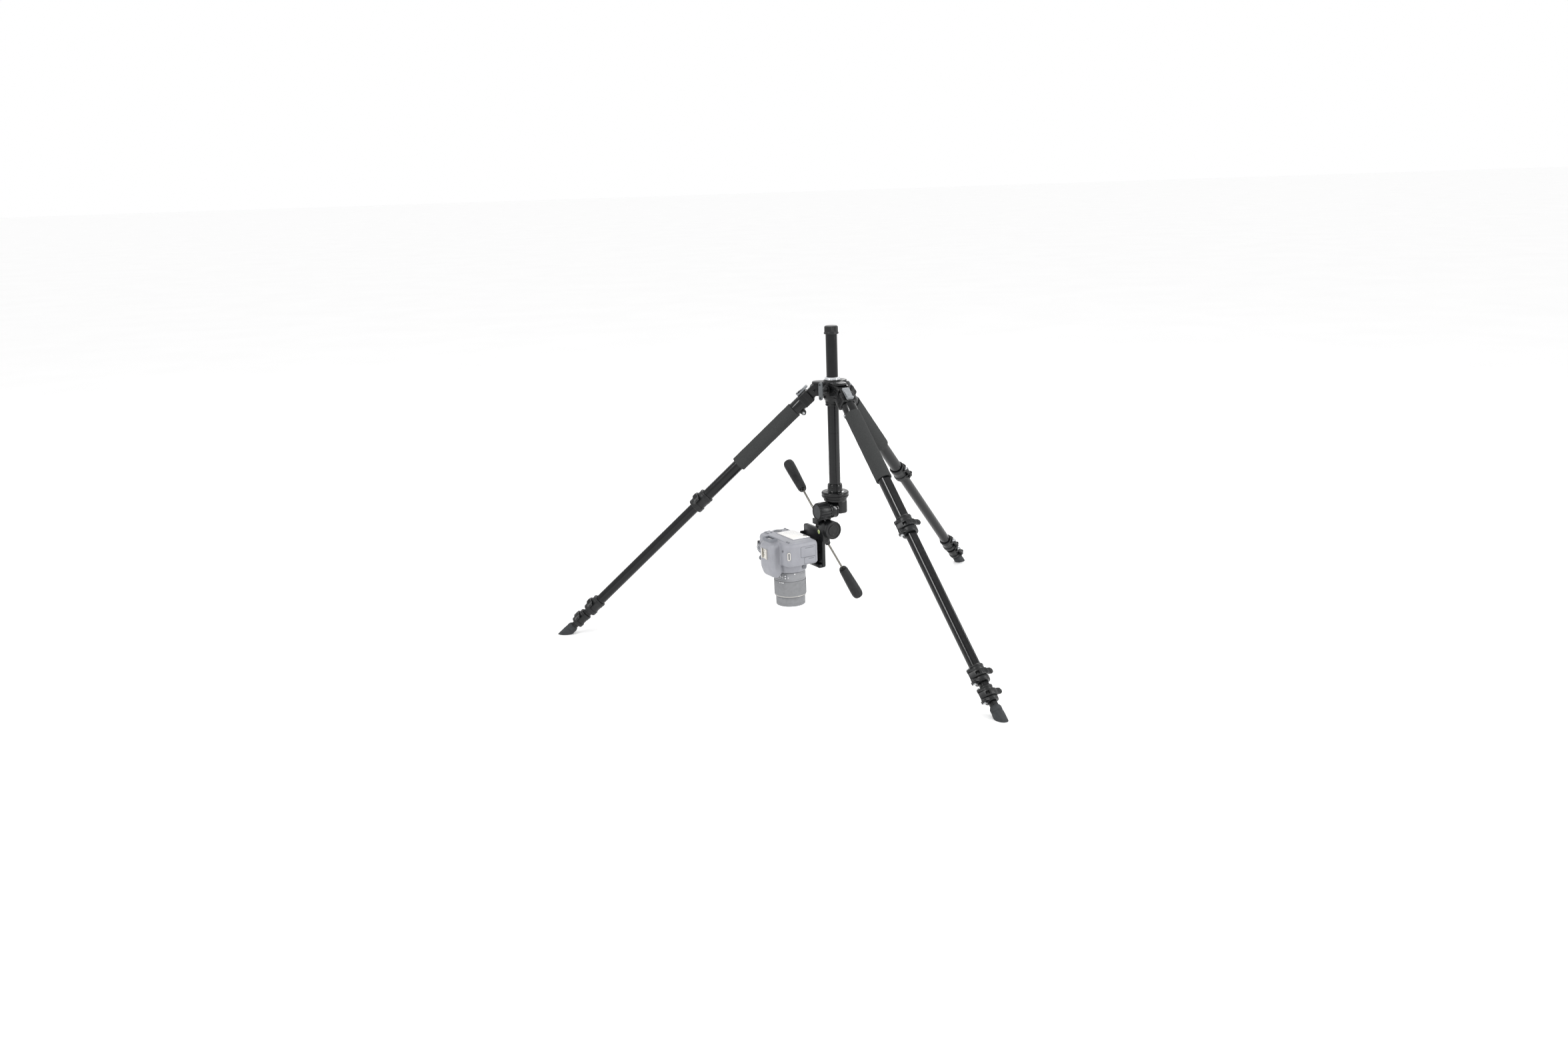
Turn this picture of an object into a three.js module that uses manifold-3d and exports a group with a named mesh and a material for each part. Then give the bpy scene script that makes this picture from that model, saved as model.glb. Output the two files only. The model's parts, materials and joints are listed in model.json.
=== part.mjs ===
// Tripod with a turned-over centre column and a three-way head that hangs a digital camera,
// lens down, between the legs. Millimetres, +Z up, standing on the floor at z = 0.
import * as THREE from "three";
import { mergeVertices } from "three/addons/utils/BufferGeometryUtils.js";
import Module from "manifold-3d";

const wasm = await Module();
wasm.setup();

// Clearances
const TOUCH = 0.3; // between two pieces that stay together
const RUN = 0.4; // between two pieces that turn or slide

// Stance
const HINGE_HEIGHT = 525;
const HINGE_OUT = 16; // from the hub's side to a leg's hinge
const SPREAD = THREE.MathUtils.degToRad(46.84); // leg angle from the vertical
const LEG_TURNS = { left: 180, front: 300, rear: 60 }; // seen from above

// Leg tubes, measured along the leg from its hinge
const TOP_TUBE_RADIUS = 13.05;
const TUBE_WALL = 1.2;
const FLAT_HALF_ANGLE = THREE.MathUtils.degToRad(31);
const SECTION_OVERLAP = 35;
const TUBE_TOP = 22;
const SOCKET_END = 60;
const SOCKET_WALL = 1.7;
const FOAM_LENGTH = 166;
const FOAM_THICKNESS = 3.3;
const TOP_LOCK_START = 321;
const LOCK_LENGTHS = [38, 34.5, 31];
const LOCK_GAP = 9;
const FOOT_LENGTH = 27.5;
const FOOT_RADIUS = 11.6;
const FOOT_NECK = 8.8; // bare tube between the lowest lock and the foot
const TUBE_IN_FOOT = 6;
const INNER_TUBE_LENGTH = 366;

// Leg locks
const LOCK_WALL = 3;
const LEVER_HEIGHT = 12.5;
const LEVER_THICKNESS = 3.6;
const LEVER_TAB = 13;
const PIN_OUT = 4.6; // pin centre outside the collar
const LEVER_PIN_RADIUS = 1.6;
const KNUCKLE_RADIUS = 4.2;
const WINDOW = 6;

// Crown
const HUB_WALL = 8.5; // around the column, as are the next ones
const HUB_HEIGHT = 40;
const SLEEVE_WALL = 4;
const SLEEVE_LENGTH = 14;
const CHEEK_THICKNESS = 6;
const CHEEK_RADIUS = 12;
const TONGUE_WIDTH = 18;
const TONGUE_RADIUS = 10.8;
const PIN_RADIUS = 4;
const BLOCK_START = 13.5;
const BLOCK_LENGTH = 24;
const BLOCK_WIDTH = 33;
const TAB_LENGTH = 28;
const TAB_WIDTH = 15;
const TAB_HEIGHT = 5;
const BUSHING_WALL = 4.3;
const BUSHING_HEIGHT = 5.5;
const KNOB_TURN = 240;
const KNOB_SHAFT_RADIUS = 3.6;
const KNOB_BOSS_RADIUS = 9.5;
const KNOB_BOSS_LENGTH = 8;
const KNOB_WING = 36;
const KNOB_WING_WIDTH = 9;
const KNOB_WING_THICKNESS = 6.5;

// Centre column
const COLUMN_RADIUS = 12;
const COLUMN_WALL = 1.6;
const COLUMN_RISE = 111; // above the crown
const COLUMN_CAP_HEIGHT = 16.5;
const CAP_WALL = 2;
const CAP_RIM = 1.2;
const MOUNT_TOP = 324; // top of the collar that the column screws into
const MOUNT_COLLAR_HEIGHT = 16;
const MOUNT_COLLAR_WALL = 3.8;
const MOUNT_DISC_RADIUS = 29;
const MOUNT_DISC_HEIGHT = 13.7;

// Head: x along the tilt axis, y along the flip axis
const HEAD_TURN = THREE.MathUtils.degToRad(-146.74);
const PAN_RADIUS = 24.5;
const TILT_AXIS_Z = 269;
const TILT_AXLE_RADIUS = 8;
const TILT_RING_RADIUS = 17.8;
const TILT_RING_START = 5.4;
const TILT_RING_END = 20;
const TILT_KNOB_RADIUS = 19;
const TILT_KNOB_LENGTH = 27.6;
const TILT_KNOB_RIBS = 14;
const FLIP_AXIS_X = 20;
const FLIP_AXIS_Z = 229;
const FLIP_AXLE_RADIUS = 7;
const FLIP_RADIUS = 19.3;
const FLIP_FRONT = 22.5;
const FLIP_BACK = -8.2;
const HUB2_RADIUS = 12;
const HUB2_BACK = -32;
const PLATE_FACE = 41;
const PLATE_THICKNESS = 8;
const PLATE_TOP = 231;
const PLATE_BOTTOM = 147;
const PLATE_NEAR = 9;
const PLATE_FAR = -66;
const CRADLE_RISE = 8;
const QUICK_PLATE_WIDTH = 42;
const QUICK_PLATE_LENGTH = 46;
const QUICK_PLATE_TOP = 207;
const CLAMP_LEVER_WIDTH = 13;
const CLAMP_LEVER_THICKNESS = 5;
const CLAMP_LEVER_LENGTH = 38;

// Handles
const ROD_RADIUS = 2.3;
const HANDLE_REACH = 78; // from a handle's root to its grip
const GRIP_LENGTH = 82;
const GRIP_BIG_RADIUS = 12;
const GRIP_SMALL_RADIUS = 9.7;
const GRIP_SIDES = 12;
const SOCKET_RADIUS = 5.6;
const SOCKET_LENGTH = 11;
const SOCKET_DEPTH = 8;

// Camera: its base is on the quick-release plate, its lens points down
const BODY_BASE = 60;
const BODY_HEIGHT = 77;
const BODY_LEFT = 25;
const BODY_WIDTH = 129;
const BODY_BACK = 216;
const BODY_DEPTH = 50;
const LENS_HEIGHT = 39.5; // lens axis above the base
const LENS_ACROSS = 55; // lens axis from the camera's left side
const HUMP_TOP = 99;
const HUMP_WIDTH = 54;
const HUMP_FRONT = 29; // beyond the body's front
const MOUNT_BULGE_RADIUS = 38;
const MOUNT_BULGE_HEIGHT = 19;
const LENS_RADIUS = 34.25;
const LENS_FIXED_LENGTH = 19;
const ZOOM_LENGTH = 35;
const FRONT_RADIUS = 31;
const FOCUS_LENGTH = 16.5;
const FOCUS_RING_THICKNESS = 3;
const FRONT_LIP = 2;
const DIAL_RADIUS = 10;
const DIAL_HEIGHT = 8;
const BUTTON_RADIUS = 5;
const BUTTON_TRAVEL = 1.2;
const BUTTON_DEPTH = 4.5;

const ROUND = 20; // sides of a round piece
const LEG_ROUND = 14; // sides of a round piece on the legs
const SMALL_ROUND = 10;

const finish = (color, roughness, metalness) =>
  new THREE.MeshStandardMaterial({ color, roughness, metalness });
const lacquer = finish(0x1a1b1e, 0.28, 0.6);
const casting = finish(0x1d1e21, 0.42, 0.3);
const plastic = finish(0x2b2c2e, 0.5, 0);
const foam = finish(0x3e3e3e, 0.95, 0);
const rubber = finish(0x3b3c3d, 0.85, 0);
const paleGrey = finish(0x97999b, 0.5, 0);
const chrome = finish(0xc9ccd0, 0.15, 1);
const greyPlastic = finish(0x8f9093, 0.6, 0);

// A three.js geometry as a solid with merged vertices and faces that point out.
function solid(geometry) {
  const bare = geometry.clone();
  for (const name of Object.keys(bare.attributes)) {
    if (name !== "position") bare.deleteAttribute(name);
  }
  const merged = mergeVertices(bare, 1e-4);
  const points = merged.attributes.position.array;
  const corners = [];
  let volume = 0;
  for (let i = 0; i < merged.index.count; i += 3) {
    const [a, b, c] = merged.index.array.subarray(i, i + 3);
    if (a === b || b === c || c === a) continue;
    corners.push(a, b, c);
    const [p, q, r] = [a, b, c].map((v) => new THREE.Vector3().fromArray(points, v * 3));
    volume += p.dot(q.cross(r));
  }
  if (volume < 0) corners.reverse();
  return new wasm.Manifold(
    new wasm.Mesh({ numProp: 3, vertProperties: points, triVerts: new Uint32Array(corners) }),
  );
}

const join = (...pieces) => pieces.reduce((whole, piece) => whole.add(piece));
const cut = (piece, ...tools) => tools.reduce((rest, tool) => rest.subtract(tool), piece);

// A solid's surface as a three.js geometry.
function surface(piece) {
  const { vertProperties, triVerts } = piece.getMesh();
  const geometry = new THREE.BufferGeometry();
  geometry.setAttribute("position", new THREE.BufferAttribute(vertProperties, 3));
  geometry.setIndex(new THREE.BufferAttribute(triVerts, 1));
  return geometry;
}

const spun = (piece, degrees) => solid(surface(piece).rotateZ(THREE.MathUtils.degToRad(degrees)));

function node(name, piece, material) {
  const geometry = surface(piece);
  geometry.computeVertexNormals();
  const mesh = new THREE.Mesh(geometry, material);
  mesh.name = name;
  return mesh;
}

// A box between two corners.
function box([x0, y0, z0], [x1, y1, z1]) {
  const shape = new THREE.BoxGeometry(x1 - x0, y1 - y0, z1 - z0);
  return solid(shape.translate((x0 + x1) / 2, (y0 + y1) / 2, (z0 + z1) / 2));
}

// An outline in the XY plane, raised from z0 to z1.
function raise(outline, z0, z1) {
  const shape = outline instanceof THREE.Shape ? outline : new THREE.Shape(outline);
  const options = { depth: z1 - z0, bevelEnabled: false, curveSegments: 8 };
  return solid(new THREE.ExtrudeGeometry(shape, options).translate(0, 0, z0));
}

// A [radius, z] profile turned about the Z axis through (x, y).
function turned(profile, x = 0, y = 0, sides = ROUND) {
  const points = profile.map(([radius, z]) => new THREE.Vector2(radius, z));
  return solid(new THREE.LatheGeometry(points, sides).rotateX(Math.PI / 2).translate(x, y, 0));
}

function drum(radius, z0, z1, x = 0, y = 0, sides = ROUND, chamfer = 0) {
  return turned(
    [
      [0, z0],
      [radius - chamfer, z0],
      ...(chamfer ? [[radius, z0 + chamfer], [radius, z1 - chamfer]] : []),
      [radius - chamfer, z1],
      [0, z1],
    ],
    x,
    y,
    sides,
  );
}

// A profile turned about the line from a point along a direction; z runs along the line.
function turnedAlong(profile, origin, direction, sides = ROUND) {
  const points = profile.map(([radius, along]) => new THREE.Vector2(radius, along));
  const shape = new THREE.LatheGeometry(points, sides);
  const up = new THREE.Vector3(0, 1, 0);
  const turn = new THREE.Quaternion().setFromUnitVectors(up, direction.clone().normalize());
  return solid(shape.applyQuaternion(turn).translate(origin.x, origin.y, origin.z));
}

function bar(radius, from, to, sides = ROUND, chamfer = 0) {
  const direction = to.clone().sub(from);
  const length = direction.length();
  const profile = [
    [0, 0],
    [radius - chamfer, 0],
    ...(chamfer ? [[radius, chamfer], [radius, length - chamfer]] : []),
    [radius - chamfer, length],
    [0, length],
  ];
  return turnedAlong(profile, from, direction, sides);
}

const at = (x, y, z) => new THREE.Vector3(x, y, z);

// A round bore's corner radius whose flat sides run clear of a round piece inside it.
const clearOf = (radius) => (radius + RUN) / Math.cos(Math.PI / ROUND);

// Points of an outline on an arc, both ends included.
function arc(radius, from, to, steps, x = 0, y = 0) {
  return Array.from({ length: steps + 1 }, (_, i) => {
    const angle = from + ((to - from) * i) / steps;
    return new THREE.Vector2(x + radius * Math.cos(angle), y + radius * Math.sin(angle));
  });
}

// A rectangle with its corners cut off.
function cutCorners(x0, y0, x1, y1, corner) {
  return [
    [x0 + corner, y0],
    [x1 - corner, y0],
    [x1, y0 + corner],
    [x1, y1 - corner],
    [x1 - corner, y1],
    [x0 + corner, y1],
    [x0, y1 - corner],
    [x0, y0 + corner],
  ].map(([x, y]) => new THREE.Vector2(x, y));
}

// ---------------------------------------------------------------- radii and heights around the column

const hubRadius = COLUMN_RADIUS + HUB_WALL;
const hingeRadius = hubRadius + HINGE_OUT;
const sleeveRadius = COLUMN_RADIUS + SLEEVE_WALL;
const bushingRadius = COLUMN_RADIUS + BUSHING_WALL;
const capRadius = COLUMN_RADIUS + CAP_WALL;
const capRimRadius = capRadius + CAP_RIM;
const mountCollarRadius = COLUMN_RADIUS + MOUNT_COLLAR_WALL;
const crownTop = HINGE_HEIGHT + HUB_HEIGHT / 2;
const crownBottom = HINGE_HEIGHT - HUB_HEIGHT / 2;
const columnTop = crownTop + COLUMN_RISE;
const knobHeight = HINGE_HEIGHT + 2;
const knobSeat = hubRadius + KNOB_BOSS_LENGTH;

// ---------------------------------------------------------------- legs
// In a leg's own frame the hinge is the origin, the leg runs along -Z, +X faces outward and up,
// and +Y is to the left of someone who looks along the leg from outside.

const FOAM_END = SOCKET_END + TOUCH + FOAM_LENGTH;
const legLength = HINGE_HEIGHT / Math.cos(SPREAD); // hinge to floor along the leg's axis
const footStart = legLength - FOOT_LENGTH;
const lockStarts = [TOP_LOCK_START, 0, 0];
lockStarts[2] = footStart - FOOT_NECK - LOCK_LENGTHS[2];
lockStarts[1] = lockStarts[2] - LOCK_GAP - LOCK_LENGTHS[1];
const tubeRadius = (section) => TOP_TUBE_RADIUS - section * (TUBE_WALL + RUN);
const FOOT_SECTION = LOCK_LENGTHS.length;
const tubeEnd = (section) => {
  if (section === FOOT_SECTION) return footStart + TUBE_IN_FOOT;
  return lockStarts[section] + LOCK_LENGTHS[section] * 0.58;
};
const tubeStart = (section) => {
  if (section === 0) return TUBE_TOP;
  if (section === 1) return tubeEnd(0) - SECTION_OVERLAP;
  return Math.max(tubeEnd(section) - INNER_TUBE_LENGTH, tubeStart(section - 1) + TUBE_TOP);
};

// A round tube's outline with one flat along its outer side.
function tubeOutline(radius) {
  return arc(radius, FLAT_HALF_ANGLE, 2 * Math.PI - FLAT_HALF_ANGLE, LEG_ROUND - 3);
}

function hollowTube(section, start, end) {
  const radius = tubeRadius(section);
  const shape = new THREE.Shape(tubeOutline(radius));
  shape.holes.push(new THREE.Path(tubeOutline(radius - TUBE_WALL)));
  return raise(shape, -end, -start);
}

function legBracket() {
  const halfBlock = BLOCK_WIDTH / 2;
  const depth = TOP_TUBE_RADIUS + SOCKET_WALL;
  const blockEnd = BLOCK_START + BLOCK_LENGTH;
  const tongue = join(
    bar(TONGUE_RADIUS, at(0, -TONGUE_WIDTH / 2, 0), at(0, TONGUE_WIDTH / 2, 0), LEG_ROUND),
    box([-TONGUE_RADIUS, -TONGUE_WIDTH / 2, -BLOCK_START - 2], [TONGUE_RADIUS, TONGUE_WIDTH / 2, 0]),
  );
  const block = raise(cutCorners(-depth, -halfBlock, depth, halfBlock, 4), -blockEnd, -BLOCK_START);
  const socket = drum(depth, -SOCKET_END, -blockEnd + 3, 0, 0, LEG_ROUND);
  const boss = join(
    box([-depth - 5.5, -6, -SOCKET_END + 4], [-depth + 4, 6, -SOCKET_END + 15]),
    bar(5, at(-depth - 3.5, -8.5, -SOCKET_END + 9.5), at(-depth - 3.5, 8.5, -SOCKET_END + 9.5), 8),
  );
  return cut(
    join(tongue, block, socket, boss),
    raise(tubeOutline(TOP_TUBE_RADIUS + TOUCH), -SOCKET_END - 1, -TUBE_TOP + TOUCH),
    bar(PIN_RADIUS + RUN, at(0, -halfBlock, 0), at(0, halfBlock, 0), SMALL_ROUND),
  );
}

// The spring-loaded tab that holds the leg at its angle; it slides along the leg.
function angleTab() {
  const base = TOP_TUBE_RADIUS + SOCKET_WALL + RUN;
  const start = BLOCK_START - 7;
  const tab = box([base, -TAB_WIDTH / 2, -start - TAB_LENGTH], [base + TAB_HEIGHT, TAB_WIDTH / 2, -start]);
  const lip = box(
    [base + TAB_HEIGHT - 1, -TAB_WIDTH / 2, -start - TAB_LENGTH],
    [base + TAB_HEIGHT + 2, TAB_WIDTH / 2, -start - TAB_LENGTH + 4],
  );
  return join(tab, lip);
}

function foamGrip() {
  const inner = (TOP_TUBE_RADIUS + TOUCH) / Math.cos(Math.PI / LEG_ROUND);
  const outer = TOP_TUBE_RADIUS + TOUCH + FOAM_THICKNESS;
  const start = SOCKET_END + TOUCH;
  const profile = [
    [inner, -FOAM_END],
    [outer, -FOAM_END],
    [outer, -start],
    [inner, -start],
    [inner, -FOAM_END],
  ];
  return turned(profile, 0, 0, LEG_ROUND);
}

// Where a lock's parts are: collar radius, pin place, lever band.
function lockPlan(section) {
  const start = lockStarts[section];
  const length = LOCK_LENGTHS[section];
  const collar = tubeRadius(section) + LOCK_WALL;
  const middle = start + length * 0.52;
  return { start, end: start + length, collar, middle, pinX: 3, pinY: -collar - PIN_OUT };
}

function lockCollar(section) {
  const { start, end, collar, middle, pinX, pinY } = lockPlan(section);
  const band = LEVER_HEIGHT / 2 + RUN;
  const waist = collar - 0.6;
  const profile = [
    [0, -end],
    [collar + 1, -end],
    [collar + 1, -middle - band],
    [waist, -middle - band],
    [waist, -middle + band],
    [collar, -middle + band],
    [collar, -start],
    [0, -start],
  ];
  const ring = turned(profile, 0, 0, LEG_ROUND);
  const ear = (z0, z1) =>
    raise(
      [
        new THREE.Vector2(pinX + 7, -waist + 6),
        new THREE.Vector2(pinX - 9, -waist + 6),
        new THREE.Vector2(pinX - 9, pinY + 2),
        ...arc(KNUCKLE_RADIUS + 0.6, Math.PI, 2 * Math.PI, 4, pinX, pinY),
      ],
      z0,
      z1,
    );
  const upperEar = ear(-middle + band, -middle + band + 6);
  const lowerEar = ear(-end + 1, -middle - band);
  const boltHead = drum(KNUCKLE_RADIUS - 0.6, -middle + band + 5, -middle + band + 8.5, pinX, pinY, 8);
  const shelf = box([pinX - 9, pinY - 3, -end + 1], [pinX + 9, -waist + 4, -end + 6.5]);
  const pin = drum(LEVER_PIN_RADIUS, -middle - band - 1, -middle + band + 1, pinX, pinY, 8);
  const seat = tubeEnd(section) + TOUCH;
  return cut(
    join(ring, upperEar, lowerEar, boltHead, shelf, pin),
    raise(tubeOutline(tubeRadius(section) + TOUCH), -seat, -start + 1),
    raise(tubeOutline(tubeRadius(section + 1) + RUN), -end - 1, -start + 1),
  );
}

function lockLever(section) {
  const { collar, middle, pinX, pinY } = lockPlan(section);
  const inner = collar + RUN;
  const outer = inner + LEVER_THICKNESS;
  const half = LEVER_HEIGHT / 2;
  const from = -1.12;
  const to = 0.82;
  const end = new THREE.Vector2(Math.cos(to) * outer, Math.sin(to) * outer);
  const along = new THREE.Vector2(-Math.sin(to - 0.55), Math.cos(to - 0.55));
  const tip = end.clone().addScaledVector(along, LEVER_TAB);
  const across = new THREE.Vector2(along.y, -along.x).multiplyScalar(-LEVER_THICKNESS * 0.8);
  const plate = raise(
    [...arc(outer, from, to, 6), tip, tip.clone().add(across), ...arc(inner, to + 0.06, from, 6)],
    -middle - half,
    -middle + half,
  );
  const arm = raise(
    [
      new THREE.Vector2(pinX - 1, pinY - KNUCKLE_RADIUS + 0.4),
      new THREE.Vector2(Math.cos(from) * outer + 1.6, Math.sin(from) * outer - 0.6),
      new THREE.Vector2(Math.cos(from + 0.2) * outer, Math.sin(from + 0.2) * outer),
      new THREE.Vector2(Math.cos(from + 0.16) * inner, Math.sin(from + 0.16) * inner),
      new THREE.Vector2(Math.cos(from) * inner, Math.sin(from) * inner),
      new THREE.Vector2(pinX - 1, pinY + KNUCKLE_RADIUS - 0.9),
    ],
    -middle - half,
    -middle + half,
  );
  const knuckle = drum(KNUCKLE_RADIUS, -middle - half, -middle + half, pinX, pinY, SMALL_ROUND);
  const roundY = tip.y - half - 1.4;
  const tipRound = cut(
    raise(cutCorners(-60, -60, 60, 60, 0.5), -middle - 20, -middle + 20),
    bar(half + 2.6, at(-60, roundY, -middle), at(60, roundY, -middle), SMALL_ROUND),
    box([-61, -61, -middle - 21], [61, tip.y - half, -middle + 21]),
  );
  const window = box([0, pinY + 5.6, -middle - WINDOW / 2], [40, pinY + 5.6 + WINDOW, -middle + WINDOW / 2]);
  const pinHole = drum(LEVER_PIN_RADIUS + RUN, -middle - half - 1, -middle + half + 1, pinX, pinY, 8);
  return cut(join(plate, arm, knuckle), tipRound, window, pinHole);
}

// The lowest tube and its foot, cut level with the floor.
function footSection() {
  const tube = hollowTube(FOOT_SECTION, tubeStart(FOOT_SECTION), tubeEnd(FOOT_SECTION));
  const reach = legLength + FOOT_RADIUS * Math.tan(SPREAD) + 2;
  const foot = drum(FOOT_RADIUS, -reach, -footStart, 0, 0, LEG_ROUND);
  const floor = new THREE.BoxGeometry(80, 80, 60)
    .translate(0, 0, -30)
    .rotateY(SPREAD)
    .translate(0, 0, -legLength);
  return cut(join(tube, foot), solid(floor));
}

function leg(name, turnDegrees) {
  const frame = new THREE.Group();
  frame.rotation.z = THREE.MathUtils.degToRad(turnDegrees);
  const hinge = new THREE.Group();
  hinge.position.set(hingeRadius, 0, HINGE_HEIGHT);
  hinge.rotation.y = -SPREAD;
  frame.add(hinge);
  hinge.add(node(`${name}_leg_bracket`, legBracket(), casting));
  hinge.add(node(`${name}_angle_tab`, angleTab(), paleGrey));
  hinge.add(node(`${name}_foam_grip`, foamGrip(), foam));
  const tubeNames = ["upper", "middle", "lower"];
  tubeNames.forEach((part, section) => {
    const tube = hollowTube(section, tubeStart(section), tubeEnd(section));
    hinge.add(node(`${name}_${part}_tube`, tube, lacquer));
    hinge.add(node(`${name}_${part}_lock`, lockCollar(section), plastic));
    hinge.add(node(`${name}_${part}_lever`, lockLever(section), plastic));
  });
  hinge.add(node(`${name}_foot`, footSection(), rubber));
  return frame;
}

// ---------------------------------------------------------------- crown and column

// A fork that holds one leg's hinge, along +X.
function crownArm() {
  const inner = TONGUE_WIDTH / 2 + RUN;
  const outer = inner + CHEEK_THICKNESS;
  const cheek = (y0, y1) =>
    join(
      bar(CHEEK_RADIUS, at(hingeRadius, y0, HINGE_HEIGHT), at(hingeRadius, y1, HINGE_HEIGHT), LEG_ROUND),
      box([hubRadius - 8, y0, HINGE_HEIGHT - CHEEK_RADIUS], [hingeRadius, y1, HINGE_HEIGHT + CHEEK_RADIUS]),
    );
  const web = box(
    [hubRadius - 8, -outer, HINGE_HEIGHT + CHEEK_RADIUS],
    [hingeRadius + 6, outer, HINGE_HEIGHT + CHEEK_RADIUS + 5],
  );
  const hinge = (y) => at(hingeRadius, y, HINGE_HEIGHT);
  const pin = bar(PIN_RADIUS, hinge(-outer), hinge(outer), SMALL_ROUND);
  return join(cheek(inner, outer), cheek(-outer, -inner), web, pin);
}

function crown() {
  const hub = turned([
    [0, crownBottom - SLEEVE_LENGTH],
    [sleeveRadius - 1, crownBottom - SLEEVE_LENGTH],
    [sleeveRadius, crownBottom - SLEEVE_LENGTH + 1],
    [sleeveRadius, crownBottom - 4],
    [hubRadius, crownBottom + 4],
    [hubRadius, crownTop - 3],
    [hubRadius - 3, crownTop],
    [0, crownTop],
  ]);
  const arms = Object.values(LEG_TURNS).map((turnDegrees) => spun(crownArm(), turnDegrees));
  const bossRoot = at(hubRadius - KNOB_BOSS_LENGTH, 0, knobHeight);
  const boss = bar(KNOB_BOSS_RADIUS, bossRoot, at(knobSeat, 0, knobHeight), ROUND, 1);
  const knobHole = bar(
    KNOB_SHAFT_RADIUS + RUN,
    at(hubRadius - 5, 0, knobHeight),
    at(knobSeat + 1, 0, knobHeight),
    SMALL_ROUND,
  );
  const bore = drum(COLUMN_RADIUS + RUN, crownBottom - SLEEVE_LENGTH - 1, crownTop + 1);
  return cut(join(hub, ...arms, spun(boss, KNOB_TURN)), bore, spun(knobHole, KNOB_TURN));
}

// The bright ring that turns with the column.
function columnBushing() {
  const z0 = crownTop + TOUCH;
  const z1 = z0 + BUSHING_HEIGHT;
  return turned([
    [COLUMN_RADIUS + RUN, z0],
    [bushingRadius, z0],
    [bushingRadius, z1 - 2],
    [bushingRadius - 2, z1],
    [COLUMN_RADIUS + RUN, z1],
    [COLUMN_RADIUS + RUN, z0],
  ]);
}

// The winged screw that clamps the column.
function columnLockKnob() {
  const seat = knobSeat + RUN;
  const shaftEnd = at(seat + 17, 0, knobHeight);
  const shaft = bar(KNOB_SHAFT_RADIUS, at(hubRadius, 0, knobHeight), shaftEnd, SMALL_ROUND);
  const hub = bar(KNOB_BOSS_RADIUS - 2, at(seat, 0, knobHeight), at(seat + 8, 0, knobHeight), ROUND, 1);
  const half = KNOB_WING / 2;
  const outline = cutCorners(-half, -KNOB_WING_WIDTH / 2, half, KNOB_WING_WIDTH / 2, 4);
  const wing = surface(raise(outline, 0, KNOB_WING_THICKNESS))
    .rotateY(Math.PI / 2)
    .translate(seat + 15, 0, knobHeight);
  return spun(join(shaft, hub, solid(wing)), KNOB_TURN);
}

function centreColumn() {
  const bottom = MOUNT_TOP - MOUNT_COLLAR_HEIGHT + 3 + TOUCH;
  const top = columnTop - 4;
  const inner = COLUMN_RADIUS - COLUMN_WALL;
  return turned([
    [inner, bottom],
    [COLUMN_RADIUS, bottom],
    [COLUMN_RADIUS, top],
    [inner, top],
    [inner, bottom],
  ]);
}

function columnCap() {
  const bottom = columnTop - COLUMN_CAP_HEIGHT;
  const cap = turned([
    [0, bottom],
    [capRimRadius, bottom],
    [capRimRadius, bottom + 3],
    [capRadius, bottom + 4],
    [capRadius, columnTop],
    [0, columnTop],
  ]);
  return cut(cap, drum(COLUMN_RADIUS + TOUCH, bottom - 1, columnTop - 4 + TOUCH));
}

const mountDiscTop = MOUNT_TOP - MOUNT_COLLAR_HEIGHT;
const mountBottom = mountDiscTop - MOUNT_DISC_HEIGHT;

function headMount() {
  const step = MOUNT_DISC_HEIGHT / 7;
  return turned([
    [0, mountBottom],
    [MOUNT_DISC_RADIUS - 2, mountBottom],
    [MOUNT_DISC_RADIUS - 2, mountBottom + step],
    [MOUNT_DISC_RADIUS, mountBottom + 1.4 * step],
    [MOUNT_DISC_RADIUS, mountDiscTop - 1.4],
    [MOUNT_DISC_RADIUS - 1.4, mountDiscTop],
    [mountCollarRadius, mountDiscTop],
    [mountCollarRadius, MOUNT_TOP - 1],
    [mountCollarRadius - 1, MOUNT_TOP],
    [COLUMN_RADIUS + TOUCH, MOUNT_TOP],
    [COLUMN_RADIUS + TOUCH, mountDiscTop + 3],
    [0, mountDiscTop + 3],
  ]);
}

// ---------------------------------------------------------------- places on the camera

const bodyTop = BODY_BASE + BODY_HEIGHT;
const bodyFront = BODY_BACK - BODY_DEPTH;
const bodyRight = BODY_LEFT - BODY_WIDTH;
const lensX = BODY_BASE + LENS_HEIGHT;
const lensY = BODY_LEFT - LENS_ACROSS;
const mountZ = bodyFront - MOUNT_BULGE_HEIGHT;
const barrelEnd = mountZ - TOUCH - LENS_FIXED_LENGTH;
const zoomEnd = barrelEnd - RUN - ZOOM_LENGTH;
const focusTop = zoomEnd - 1.5;
const focusEnd = focusTop - FOCUS_LENGTH;
const focusSeat = FRONT_RADIUS - FOCUS_RING_THICKNESS - RUN;
const dialY = bodyRight + 25;
const dialZ = BODY_BACK - 26;
const buttonFace = bodyTop - 6;
const buttonY = bodyRight + 13;
const buttonZ = bodyFront - 12;

// ---------------------------------------------------------------- head

const panTop = mountBottom - RUN;
const panDiscBottom = TILT_AXIS_Z + TILT_KNOB_RADIUS + RUN;
const axleEnd = TILT_RING_END + 8;

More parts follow.
